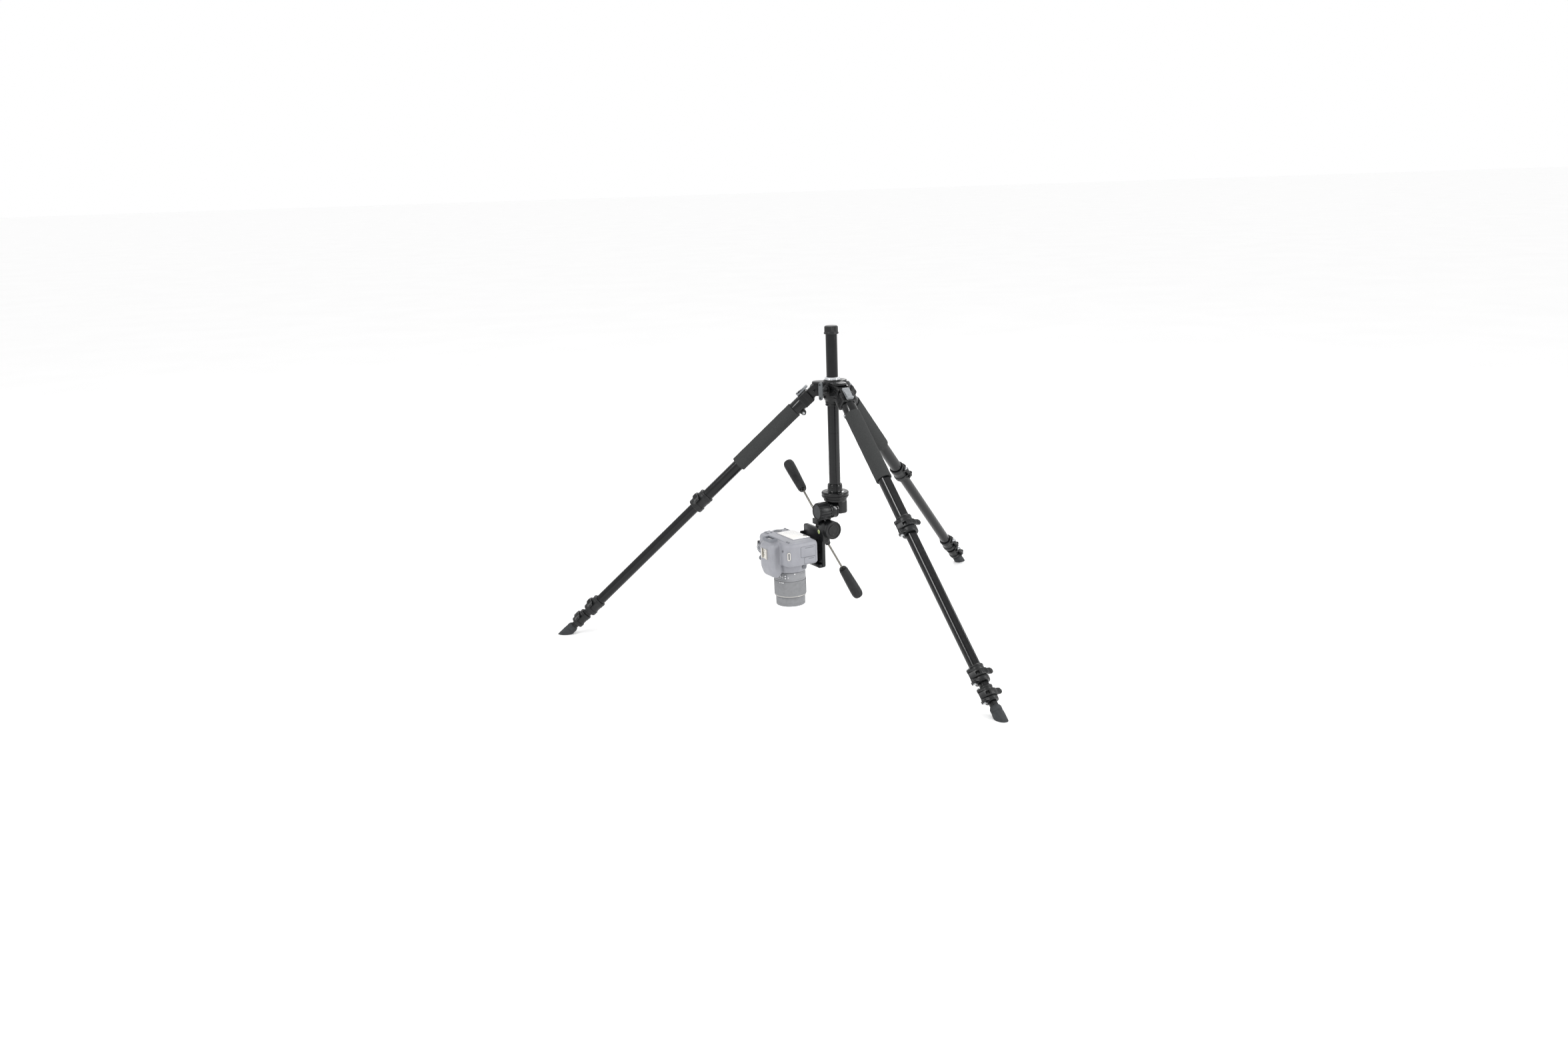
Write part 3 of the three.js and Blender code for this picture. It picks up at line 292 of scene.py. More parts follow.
def arc(radius, start, end, steps, x=0.0, y=0.0):
    """Points on an arc, both ends included."""
    angles = [start + (end - start) * i / steps for i in range(steps + 1)]
    return [Vector((x + radius * math.cos(a), y + radius * math.sin(a))) for a in angles]


def circle(radius, sides=48, x=0.0, y=0.0):
    """A circle's outline, its last point short of its first."""
    return arc(radius, 0, TURN * (1 - 1 / sides), sides - 1, x, y)


def rounded(points, radius, steps=4, closed=True):
    """An outline with its corners eased over a radius."""
    points = [Vector(p) for p in points]
    result = []
    for i, corner in enumerate(points):
        if not closed and i in (0, len(points) - 1):
            result.append(corner)
            continue
        before = points[i - 1] - corner
        after = points[(i + 1) % len(points)] - corner
        reach = min(radius, 0.48 * before.length, 0.48 * after.length)
        start = corner + before.normalized() * reach
        end = corner + after.normalized() * reach
        for k in range(steps + 1):
            t = k / steps
            result.append(start * (1 - t) ** 2 + corner * 2 * t * (1 - t) + end * t**2)
    return result


def slab(x0, y0, x1, y1, radius, steps=6):
    """A rectangle's outline with eased corners."""
    return rounded([(x0, y0), (x1, y0), (x1, y1), (x0, y1)], radius, steps)


def shrink(outline, inset):
    """An outline moved inwards."""
    if not inset:
        return outline
    count = len(outline)
    area = sum(outline[i - 1].cross(outline[i]) for i in range(count))
    turn = 1 if area > 0 else -1
    result = []
    for i, here in enumerate(outline):
        before = (here - outline[i - 1]).normalized()
        after = (outline[(i + 1) % count] - here).normalized()
        inward = Vector((-(before.y + after.y), before.x + after.x)).normalized()
        slant = max(0.5, inward.dot(Vector((-after.y, after.x))))
        result.append(here + inward * (inset * turn / slant))
    return result


def soft(low, high, radius, steps=3):
    """Levels from low to high whose two rims are rounded."""
    turns = [math.pi / 2 * k / steps for k in range(steps + 1)]
    rim = [(radius * (1 - math.cos(t)), radius * (1 - math.sin(t))) for t in turns]
    return [(low + h, i) for h, i in rim] + [(high - h, i) for h, i in reversed(rim)]


SWAPS = {
    "Z": Matrix.Identity(4),
    "Y": Matrix(((1, 0, 0, 0), (0, 0, 1, 0), (0, 1, 0, 0), (0, 0, 0, 1))),
    "X": Matrix(((0, 0, 1, 0), (1, 0, 0, 0), (0, 1, 0, 0), (0, 0, 0, 1))),
}


def mend(shape):
    """Turns every face outwards."""
    bmesh.ops.recalc_face_normals(shape, faces=shape.faces)
    return shape


def stack(outline, levels, axis="Z"):
    """An outline raised through levels of height and inset. Along Y it lies in XZ, along X in YZ."""
    shape = bmesh.new()
    loops = [
        [shape.verts.new((p.x, p.y, height)) for p in shrink(outline, inset)]
        for height, inset in levels
    ]
    for below, above in zip(loops, loops[1:]):
        for i in range(len(outline)):
            shape.faces.new((below[i - 1], below[i], above[i], above[i - 1]))
    shape.faces.new(loops[0])
    shape.faces.new(loops[-1])
    shape.transform(SWAPS[axis])
    return mend(shape)


def ring_stack(outer, inner, low, high, axis="Z"):
    """A wall between two outlines with the same number of points."""
    shape = bmesh.new()
    loops = [
        [shape.verts.new((p.x, p.y, height)) for p in outline]
        for outline, height in ((outer, low), (outer, high), (inner, high), (inner, low))
    ]
    for j, loop in enumerate(loops):
        last = loops[j - 1]
        for i in range(len(loop)):
            shape.faces.new((last[i - 1], last[i], loop[i], loop[i - 1]))
    shape.transform(SWAPS[axis])
    return mend(shape)


def lathe(profile, sides=64, bend=None):
    """A profile of radius and height turned about Z; bend gives each point's radius by angle."""
    shape = bmesh.new()
    rings = []
    for radius, height in profile:
        if radius < 1e-6:
            rings.append([shape.verts.new((0, 0, height))] * sides)
            continue
        ring = []
        for i in range(sides):
            angle = TURN * i / sides
            r = bend(radius, angle, height) if bend else radius
            ring.append(shape.verts.new((r * math.cos(angle), r * math.sin(angle), height)))
        rings.append(ring)
    pairs = list(zip(rings, rings[1:]))
    if profile[0][0] > 1e-6:
        pairs.append((rings[-1], rings[0]))
    for low, high in pairs:
        for i in range(sides):
            corners = list(dict.fromkeys((low[i - 1], low[i], high[i], high[i - 1])))
            if len(corners) > 2:
                shape.faces.new(corners)
    return mend(shape)


def turned(profile, ease, sides=64, steps=4, closed=False, bend=None):
    """A profile with eased corners turned about Z; it is closed where it goes round a ring."""
    return lathe(rounded(profile, ease, steps, closed), sides, bend)


def move(shape, matrix):
    """The same shape, put elsewhere."""
    shape.transform(matrix)
    return shape


def shift(x, y, z):
    """A matrix that only moves."""
    return Matrix.Translation((x, y, z))


def along(start, direction):
    """Puts a shape's Z axis on a line from start."""
    turn = Vector(direction).to_track_quat("Z", "Y").to_matrix().to_4x4()
    return Matrix.Translation(start) @ turn


def rod(radius, start, end, ease=0.4, sides=40):
    """A round bar with eased rims between two points."""
    start, end = Vector(start), Vector(end)
    length = (end - start).length
    profile = [(0, 0), (radius, 0), (radius, length), (0, length)]
    return move(turned(profile, ease, sides), along(start, end - start))


def gather(*shapes):
    """Several closed shapes as one."""
    whole = bmesh.new()
    for shape in shapes:
        mesh = bpy.data.meshes.new("shape")
        shape.to_mesh(mesh)
        shape.free()
        whole.from_mesh(mesh)
        bpy.data.meshes.remove(mesh)
    return whole


def loose(shape):
    """A shape as an object of its own, for a modifier."""
    mesh = bpy.data.meshes.new("tool")
    shape.to_mesh(mesh)
    shape.free()
    made = bpy.data.objects.new("tool", mesh)
    bpy.context.scene.collection.objects.link(made)
    return made


def applied(made, *others):
    """The shape that an object's modifiers give; the objects go."""
    graph = bpy.context.evaluated_depsgraph_get()
    result = bmesh.new()
    result.from_object(made, graph)
    for each in (made, *others):
        mesh = each.data
        bpy.data.objects.remove(each)
        bpy.data.meshes.remove(mesh)
    return result


def carve(shape, tool, how="DIFFERENCE"):
    """Cuts a tool's shape from a shape, or keeps what both share."""
    made, cutter = loose(shape), loose(tool)
    cut = made.modifiers.new("cut", "BOOLEAN")
    cut.operation = how
    cut.solver = "MANIFOLD"
    cut.object = cutter
    return applied(made, cutter)


def fuse(*shapes):
    """Overlapping shapes joined into one, with crisp seams."""
    whole = shapes[0]
    for shape in shapes[1:]:
        whole = carve(whole, shape, "UNION")
    return whole


def cast(shape, grain, rounds, keep=0.4):
    """Overlapping shapes run into one skin with small fillets, as a moulding has."""
    made = loose(shape)
    skin = made.modifiers.new("skin", "REMESH")
    skin.mode = "VOXEL"
    skin.voxel_size = grain
    ease = made.modifiers.new("ease", "SMOOTH")
    ease.iterations = rounds
    thin = made.modifiers.new("thin", "DECIMATE")
    thin.ratio = keep
    return applied(made)


def frame_at(origin, x, z):
    """A matrix from a frame's millimetres to the row's metres."""
    z = Vector(z).normalized()
    x = (Vector(x) - z * z.dot(Vector(x))).normalized()
    turn = Matrix((x, z.cross(x), z)).transposed().to_4x4()
    return Matrix.Translation(origin) @ turn @ Matrix.Scale(MM, 4)


def piece(name, shape, place, material, node, stands_for=(), sharp=34):
    """Puts a shape in place as a piece that rides with a CAD node."""
    shape.transform(place)
    mesh = bpy.data.meshes.new(name)
    shape.to_mesh(mesh)
    shape.free()
    mesh.polygons.foreach_set("use_smooth", [True] * len(mesh.polygons))
    mesh.set_sharp_from_angle(angle=math.radians(sharp))
    mesh.materials.append(material)
    made = bpy.data.objects.new(name, mesh)
    bpy.context.scene.collection.objects.link(made)
    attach(made, BODY_OF[node])
    if stands_for:
        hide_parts(*stands_for)
    return made


def span(node, place):
    """A CAD node's lowest and highest corner and its greatest radius, in a frame's millimetres."""
    back = place.inverted()
    points = [back @ vertex.co for vertex in frame["nodes"][node].data.vertices]
    low = Vector([min(p[k] for p in points) for k in range(3)])
    high = Vector([max(p[k] for p in points) for k in range(3)])
    return low, high, max(math.hypot(p.x, p.y) for p in points)


# ------------------------------------------------------------------ legs

BAND = math.radians(31)  # half of the angle that a tube's flat takes
TUBE_WALL = 1.2
GROOVE = 0.6  # depth of the grooves beside the flat
RIB = 0.35  # height of the fine ribs along the flat
NEXT_TUBE = 1.6  # how much smaller each tube's radius is than the last one's
LEG_PARTS = ("upper", "middle", "lower")
TUBE_RIBS = (1, 7, 6)  # along the flat of each
LOWEST_RIBS = 5
PIN_PAD = 4.7  # radius of a lock's ears around the lever's pin


def tube_outline(radius, ribs):
    """A round tube with a flat that has a groove and a ridge at each side, and fine ribs."""
    flat = radius * math.cos(BAND)
    half = radius * math.sin(BAND)
    floor = flat - 0.5
    edge = [
        Vector((r * math.cos(a), r * math.sin(a)))
        for r, a in (
            (radius, BAND + 0.14),
            (radius - GROOVE, BAND + 0.1),
            (radius - GROOVE, BAND + 0.06),
            (radius, BAND + 0.02),
        )
    ]
    edge += [Vector((flat, half - 0.5)), Vector((floor, half - 0.9))]
    room = half - 1.2
    ribbing = []
    for i in range(2 * ribs + 1):
        y = room - 2 * room * i / (2 * ribs)
        x = floor + (RIB if i % 2 else 0.0)
        ribbing += [Vector((x, y + 0.12)), Vector((x, y - 0.12))]
    mirrored = [Vector((p.x, -p.y)) for p in reversed(edge)]
    back = arc(radius, -BAND - 0.18, BAND + 0.18 - TURN, 60)
    return edge + ribbing + mirrored + back


def inner_outline(outline, radius):
    """The same outline inside a tube's wall, with a plain flat."""
    flat = radius * math.cos(BAND)
    result = []
    for p in outline:
        angle = math.atan2(p.y, p.x)
        reach = flat / math.cos(angle) if abs(angle) < BAND else radius
        result.append(Vector((reach * math.cos(angle), reach * math.sin(angle))))
    return result


def hollow_tube(radius, low, high, ribs):
    """A leg section's tube, with its flat and its wall."""
    outer = tube_outline(radius, ribs)
    return ring_stack(outer, inner_outline(outer, radius - TUBE_WALL), low, high)


def flat_filler(radius, depth, low, high):
    """What fills a round bore beside a tube's flat."""
    flat = radius * math.cos(BAND) + GAP
    outline = arc(radius + depth, -BAND - 0.06, BAND + 0.06, 10)
    outline = [Vector((max(p.x, flat + 0.3), p.y)) for p in outline]
    outline += [Vector((flat, outline[-1].y)), Vector((flat, outline[0].y))]
    return stack(outline, soft(low, high, 0.2))


def leg_frame(side):
    """A leg's frame: the hinge at its origin, Z up the leg, X to its outer face."""
    hinge = JOINTS[f"{side}_leg_spread"]
    up = -Vector(JOINTS[f"{side}_middle_slide"]["axis"])
    across = -Vector(hinge["axis"])
    return frame_at(hinge["pos_m"], across.cross(up), up)


def leg_tubes(side, place):
    """The three tubes that carry locks, each with its own ribs along the flat."""
    for part, ribs in zip(LEG_PARTS, TUBE_RIBS):
        node = f"{side}_{part}_tube"
        low, high, radius = span(node, place)
        shape = hollow_tube(radius, low.z, high.z, ribs)
        piece(f"{side}_{part}_leg_tube", shape, place, LACQUER, node, [node])


def foam_sleeve(side, place):
    """The foam grip around the upper tube, a little uneven along its length as soft foam is."""
    node = f"{side}_foam_grip"
    low, high, radius = span(node, place)
    inner = span(f"{side}_upper_tube", place)[2] + GAP
    steps = 14
    outer = [
        (radius - 0.1 - 0.12 * math.sin(2.1 * i), low.z + (high.z - low.z) * i / steps)
        for i in range(steps + 1)
    ]
    sleeve = turned([(inner, low.z), *outer, (inner, high.z)], 0.7, 72)
    piece(f"{side}_foam_sleeve", sleeve, place, FOAM, node, [node])


def bracket(side, place):
    """The casting that joins a leg to the crown: tongue, ribbed block, and a glossy socket."""
    node = f"{side}_leg_bracket"
    low, high, _ = span(node, place)
    half = high.y  # of the block
    end = low.z  # the socket's mouth
    tube = span(f"{side}_upper_tube", place)[2]
    depth = tube + 1.7
    block_top, block_end = -13.5, -37.5
    tongue_radius, tongue_half = 10.8, 8.9
    tongue_outline = rounded(
        [
            *arc(tongue_radius, 0, math.pi, 24),
            (-tongue_radius, block_top - 2),
            (tongue_radius, block_top - 2),
        ],
        0.3,
        1,
    )
    tongue = stack(tongue_outline, soft(-tongue_half, tongue_half, 0.8), "Y")
    grooves = [(block_end, 1.2), (block_end + 0.8, 0.2), (block_end + 1.2, 0)]
    for rib in (4.0, 7.0, 10.0):
        z = block_end + rib
        grooves += [(z, 0), (z + 0.2, 0.8), (z + 0.9, 0.8), (z + 1.1, 0)]
    grooves += [(block_top - 2.5, 0), (block_top - 0.6, 0.8), (block_top, 2.4)]
    block = stack(slab(-depth, -half, depth, half, 4.5), grooves)
    lug_x, lug_z = -depth - 3.5, end + 9.5
    lug_radius, lug_half = 5.2, 6.5
    lug_outline = rounded(
        [
            *arc(lug_radius, math.pi / 2, 3 * math.pi / 2, 14, lug_x, lug_z),
            (-depth + 5, lug_z - 7),
            (-depth + 5, lug_z + 7),
        ],
        1.0,
    )
    lug = stack(lug_outline, soft(-lug_half, lug_half, 0.8), "Y")
    body = fuse(tongue, block, lug)
    bore = stack(circle(tube + GAP, 48), [(end - 2, 0), (-22, 0)])
    piece(f"{side}_bracket_casting", carve(body, bore), place, CASTING, node, [node])
    inner = tube + GAP
    profile = [(inner, end), (depth, end), (depth, block_end + 1), (inner, block_end + 1)]
    collar = turned(profile, 0.6, 72, closed=True)
    piece(f"{side}_bracket_socket", collar, place, GLOSSY_CASTING, node)
    seal = flat_filler(tube, 0.8, end + 0.5, end + 4)
    piece(f"{side}_socket_seal", seal, place, CASTING, node)
    screws = [
        move(screw_head(3.4), along((lug_x, s * (lug_half - 0.1), lug_z), (0, s, 0))) for s in (-1, 1)
    ]
    piece(f"{side}_socket_screws", gather(*screws), place, STEEL, node)


def screw_head(radius, height=2.0):
    """A domed head with a cross recess."""
    profile = [
        (0, 0),
        (radius, 0),
        (radius, height * 0.35),
        (radius * 0.6, height),
        (0, height * 1.12),
    ]
    head = turned(profile, 0.5, 32)
    arm, width = radius * 0.55, 0.45
    for x, y in ((arm, width), (width, arm)):
        slot = slab(-x, -y, x, y, 0.15, 1)
        head = carve(head, stack(slot, [(height * 0.45, 0), (height * 2, 0)]))
    return head


def angle_tab(side, place):
    """The pale sprung tab over the hinge: a ridged slider with a thumb lip."""
    node = f"{side}_angle_tab"
    low, high, _ = span(node, place)
    base, top = low.x, high.x - 2
    outline = [(base, low.z), (high.x, low.z), (high.x, low.z + 3.4), (top, low.z + 4.2)]
    ridges, pitch = 4, 4.6
    for i in range(ridges):
        z = low.z + 8 + i * pitch
        outline += [(top, z), (top - 0.5, z + 0.3), (top - 0.5, z + 0.9), (top, z + 1.2)]
    outline += [(top, high.z - 1.2), (top - 1.2, high.z), (base, high.z)]
    shape = stack(rounded(outline, 0.35, 2), soft(low.y, high.y, 0.9), "Y")
    piece(f"{side}_angle_slider", shape, place, PALE_NYLON, node, [node])


def lever_lock(side, part, place):
    """A lever lock: collar, two ears with a bolt, a double skirt, and the lever."""
    node, lever_node = f"{side}_{part}_lock", f"{side}_{part}_lever"
    low, high, _ = span(node, place)
    lever_low, lever_high, _ = span(lever_node, place)
    tube_low, _, tube = span(f"{side}_{part}_tube", place)
    following = tube - NEXT_TUBE
    collar = tube + 3
    waist = collar - 0.8
    pin = place.inverted() @ Vector(JOINTS[f"{side}_{part}_clamp_swing"]["pos_m"])
    band_low, band_high = lever_low.z - 0.4, lever_high.z + 0.4
    bore, lower_bore = tube + GAP, following + GAP
    top, bottom = high.z, low.z
    profile = [
        (bore, top),
        (collar - 0.4, top),
        (collar + 0.5, top - 1.3),
        (collar + 0.5, top - 3.4),
        (collar - 0.4, top - 4.0),
        (collar - 0.4, top - 4.9),
        (collar, top - 5.4),
        (collar, band_high),
        (waist, band_high),
        (waist, band_low),
        (collar + 0.9, band_low),
        (collar + 0.9, bottom + 3.0),
        (collar + 0.3, bottom + 2.6),
        (collar + 0.3, bottom + 2.0),
        (collar + 0.9, bottom + 1.6),
        (collar + 0.2, bottom),
        (lower_bore, bottom),
        (lower_bore, tube_low.z - GAP),
        (bore, tube_low.z - GAP),
    ]
    ring = turned(profile, 0.45, 72, 2, closed=True)

    ear_outline = rounded(
        [
            (pin.x + 6.5, -waist + 5),
            (pin.x - 8.5, -waist + 5),
            (pin.x - 8.5, pin.y + 1.6),
            *arc(PIN_PAD, math.pi, TURN, 16, pin.x, pin.y),
        ],
        1.0,
    )
    ear = 6  # its height
    upper_ear = stack(ear_outline, soft(band_high, band_high + ear, 0.7))
    lower_ear = stack(shrink(ear_outline, 0.2), soft(bottom + 1, band_low, 0.6))
    skirt_outline = slab(pin.x - 9, pin.y - 3, pin.x + 9, -waist + 4, 3.2)
    z = bottom + 1
    skirt = stack(
        skirt_outline,
        [
            (z, 1.2), (z + 0.5, 0.3), (z + 1.2, 0), (z + 1.9, 0), (z + 2.1, 0.9),
            (z + 2.9, 0.9), (z + 3.1, 0), (z + 4.8, 0), (z + 5.3, 0.4), (z + 5.5, 1.2),
        ],
    )
    pin_rod = rod(1.6, (pin.x, pin.y, band_low - 1), (pin.x, pin.y, band_high + 1))
    fillers = gather(
        flat_filler(tube, 1.0, top - 4, top - 0.4),
        flat_filler(following, 1.4, bottom + 0.4, bottom + 5),
    )
    whole = gather(ring, upper_ear, lower_ear, skirt, pin_rod, fillers)
    piece(f"{side}_{part}_lock_collar", whole, place, NYLON, node, [node])
    on_ear = shift(pin.x, pin.y, band_high + ear)
    washer = turned([(0, -0.1), (4.3, -0.1), (4.3, 0.6), (0, 0.6)], 0.2, 40)
    nut = stack(circle(3.4, 6, pin.x, pin.y), soft(bottom - 1.4, bottom + 1.2, 0.4))
    bolt = gather(move(screw_head(3.7, 2.4), on_ear), move(washer, on_ear), nut)
    piece(f"{side}_{part}_lock_bolt", bolt, place, STEEL, node)
    lock_lever(side, part, place, pin, collar, lever_low.z, lever_high.z)


def lock_lever(side, part, place, pin, collar, low, high):
    """The over-centre lever that wraps the collar's outer side and ends in a thumb paddle."""
    node = f"{side}_{part}_lever"
    inner = collar + 0.4
    outer = inner + 3.6
    middle, half = (low + high) / 2, (high - low) / 2
    start, end = -1.12, 0.82  # angles around the tube between which it wraps, in radians
    tip_turn = end - 0.55
    heading = Vector((-math.sin(tip_turn), math.cos(tip_turn)))
    tip = Vector((math.cos(end), math.sin(end))) * outer + heading * 13
    back = Vector((-heading.y, heading.x)) * 2.9
    shell = arc(outer, start + 0.16, end, 14)
    # flats along the outer face, as a folded plate has
    shell = [p * (1.0 - 0.012 * (i % 3 == 1)) for i, p in enumerate(shell)]
    outline = [
        *arc(PIN_PAD - 0.6, 0.75 * math.pi, 1.62 * math.pi, 10, pin.x, pin.y),
        *shell,
        tip,
        tip + back,
        *arc(inner, end + 0.06, start + 0.12, 14),
    ]
    plate = stack(rounded(outline, 0.7, 2), soft(low, high, 0.9))
    reach = tip.y + 0.05
    beyond = 60  # past the lever on every side
    side_outline = [
        (-beyond, middle - half - 1),
        (reach - 5.5, middle - half - 0.2),
        (reach - 1.6, middle - half * 0.62),
        (reach, middle),
        (reach - 1.6, middle + half * 0.62),
        (reach - 5.5, middle + half + 0.2),
        (-beyond, middle + half + 1),
    ]
    paddle = stack(rounded(side_outline, 3.5, 5), [(-beyond, 0), (beyond, 0)], "X")
    plate = carve(plate, paddle, "INTERSECT")
    y = pin.y + 5.4
    window = stack(slab(y, middle - 3.1, y + 6.2, middle + 3.1, 0.8), [(1, 0), (50, 0)], "X")
    plate = carve(plate, window)
    ribs = []
    if part != LEG_PARTS[-1]:
        for i in range(7):
            angle = -0.05 + i * 0.115
            x, y = (outer - 0.05) * math.cos(angle), (outer - 0.05) * math.sin(angle)
            ribs.append(rod(0.5, (x, y, middle - 4.2), (x, y, middle + 4.2), 0.3, 12))
    pad_centre = tip - heading * 5
    pad = stack(slab(-3.6, -3.6, 3.6, 3.6, 2.4), soft(-0.2, 0.55, 0.4))
    outward = Vector((heading.y, -heading.x, 0))
    pad = move(pad, along((pad_centre.x, pad_centre.y, middle), outward))
    piece(f"{side}_{part}_lock_lever", gather(plate, pad, *ribs), place, NYLON, node, [node])


def foot(side, place):
    """The lowest tube with its rubber foot, cut level on the floor."""
    node = f"{side}_foot"
    back = place.inverted()
    points = [back @ vertex.co for vertex in frame["nodes"][node].data.vertices]
    tube = span(f"{side}_lower_tube", place)[2] - NEXT_TUBE
    rubber = [p for p in points if math.hypot(p.x, p.y) > tube + 1.5]
    top = max(p.z for p in rubber)
    radius = max(math.hypot(p.x, p.y) for p in rubber)
    start = max(p.z for p in points)
    stub = hollow_tube(tube, top - 3, start, LOWEST_RIBS)
    piece(f"{side}_lowest_tube", stub, place, LACQUER, node)
    side_radius = radius - 0.4
    below = top - 60  # under the floor, to be cut off
    profile = [
        (0, top),
        (tube + 0.6, top),
        (side_radius - 1.6, top - 1.2),
        (side_radius, top - 4.2),
        (side_radius, top - 11),
        (side_radius - 0.6, top - 11.6),
        (side_radius - 0.6, top - 12.6),
        (side_radius, top - 13.2),
        (radius, top - 19),
        (radius, below),
        (0, below),
    ]
    shape = turned(profile, 0.7)
    shape.transform(place)
    everything = shape.verts[:] + shape.edges[:] + shape.faces[:]
    cut = bmesh.ops.bisect_plane(
        shape, geom=everything, plane_co=(0, 0, 0.02 * MM), plane_no=(0, 0, 1), clear_inner=True
    )
    rim = [e for e in cut["geom_cut"] if isinstance(e, bmesh.types.BMEdge)]
    bmesh.ops.contextual_create(shape, geom=rim)
    piece(f"{side}_rubber_foot", mend(shape), Matrix.Identity(4), FOOT_RUBBER, node, [node])


for side in LEGS:
    place = leg_frame(side)
    leg_tubes(side, place)
    foam_sleeve(side, place)
    bracket(side, place)
    angle_tab(side, place)
    for part in LEG_PARTS:
        lever_lock(side, part, place)
    foot(side, place)

# ------------------------------------------------------------------ crown and column

column_low, column_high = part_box("centre_column")
AXIS = Vector(((column_low.x + column_high.x) / 2, (column_low.y + column_high.y) / 2, 0))
UPRIGHT = frame_at(AXIS, (1, 0, 0), (0, 0, 1))


def turned_to(degrees):
    """A turn about the column."""
    return Matrix.Rotation(math.radians(degrees), 4, "Z")


def bearing(joint):
    """The direction of a joint from the column, in degrees."""
    offset = Vector(JOINTS[joint]["pos_m"]) - AXIS
    return math.degrees(math.atan2(offset.y, offset.x))


def crown():
    """The casting that holds the legs: a hub with a sleeve, and a fork and cover for each leg."""
    bottom = span("crown", UPRIGHT)[0].z
    column = span("centre_column", UPRIGHT)[2]
    bore = column + 0.4
    hinge_z = JOINTS["left_leg_spread"]["pos_m"][2] / MM
    hinge_out = (Vector(JOINTS["left_leg_spread"]["pos_m"]) - AXIS).xy.length / MM
    top = hinge_z + 20
    hub_radius = column + 8.5
    sleeve, waist = column + 4, column + 3.2
    profile = [
        (bore, bottom),
        (waist, bottom),
        (sleeve, bottom + 1),
        (sleeve, bottom + 3),
        (waist, bottom + 3.6),
        (waist, bottom + 5),
        (sleeve, bottom + 5.6),
        (sleeve, hinge_z - 24),
        (hub_radius, hinge_z - 17),
        (hub_radius, top - 3),
        (hub_radius - 3, top),
        (bore, top),
    ]
    parts = []
    cheek_in, cheek_out, cheek_radius = 9.4, 14.9, 12
    for side in LEGS:
        turn = turned_to(bearing(f"{side}_leg_spread"))
        cheek_outline = rounded(
            [
                (13, hinge_z - cheek_radius),
                *arc(cheek_radius, -math.pi / 2, math.pi / 2, 20, hinge_out, hinge_z),
                (13, hinge_z + cheek_radius),
            ],
            0.4,
            1,
        )
        for s in (-1, 1):
            near, far = sorted((s * cheek_in, s * cheek_out))
            cheek = stack(cheek_outline, soft(near, far, 1.2), "Y")
            face = rod(9.2, (hinge_out, s * 14, hinge_z), (hinge_out, s * 15.4, hinge_z), 0.4)
            parts += [move(cheek, turn), move(face, turn)]
        cover_outline = rounded(
            [
                (12, -15.6),
                (hinge_out - 4, -15.6),
                (hinge_out + 6, -9),
                (hinge_out + 6, 9),
                (hinge_out - 4, 15.6),
                (12, 15.6),
            ],
            5,
        )
        levels = [
            (hinge_z + 12, 1.2),
            (hinge_z + 12.6, 0),
            (hinge_z + 15.4, 0),
            (hinge_z + 16.6, 1.4),
            (hinge_z + 17, 3),
        ]
        parts.append(move(stack(cover_outline, levels), turn))
    knob_turn = turned_to(bearing("column_screw_turn"))
    knob_z = JOINTS["column_screw_turn"]["pos_m"][2] / MM
    boss = rod(9.4, (hub_radius - 8, 0, knob_z), (hub_radius + 8, 0, knob_z), 1.0)
    parts.append(move(boss, knob_turn))
    for rib_turn in (0, 120):
        rib = stack(slab(12, -4, hub_radius + 4, 4, 2), soft(hinge_z - 15, hinge_z + 13, 2.5))
        parts.append(move(rib, turned_to(rib_turn)))
    skin = fuse(turned(profile, 0.6, 72, closed=True), *parts)
    skin = carve(skin, stack(circle(bore, 64), [(bottom - 5, 0), (top + 5, 0)]))
    shaft_hole = rod(4.2, (hub_radius - 6, 0, knob_z), (hub_radius + 12, 0, knob_z))
    skin = carve(skin, move(shaft_hole, knob_turn))
    piece("crown_casting", skin, UPRIGHT, CASTING, "crown", ["crown"])
    caps = []
    cap_profile = [(0, 0), (4.6, 0), (4.6, 0.5), (3.2, 0.5), (2.8, 0.1), (0, 0.1)]
    for side in LEGS:
        for s in (-1, 1):
            where = along((hinge_out, s * 15.3, hinge_z), (0, s, 0))
            turn = turned_to(bearing(f"{side}_leg_spread"))
            caps.append(move(turned(cap_profile, 0.2, 36), turn @ where))
    piece("hinge_pin_caps", gather(*caps), UPRIGHT, GLOSSY_CASTING, "crown")


def bushing():
    """The bright ring that the column slides through."""
    node = "column_bushing"
    low, high, radius = span(node, UPRIGHT)
    bore = span("centre_column", UPRIGHT)[2] + GAP
    profile = [
        (bore, low.z),
        (radius, low.z),
        (radius, low.z + 1.4),
        (radius - 0.7, low.z + 1.9),
        (radius, low.z + 2.4),
        (radius, high.z - 1.8),
        (radius - 1.8, high.z),
        (bore, high.z),
    ]
    piece("column_ring", turned(profile, 0.4, 96, closed=True), UPRIGHT, CHROME, node, [node])


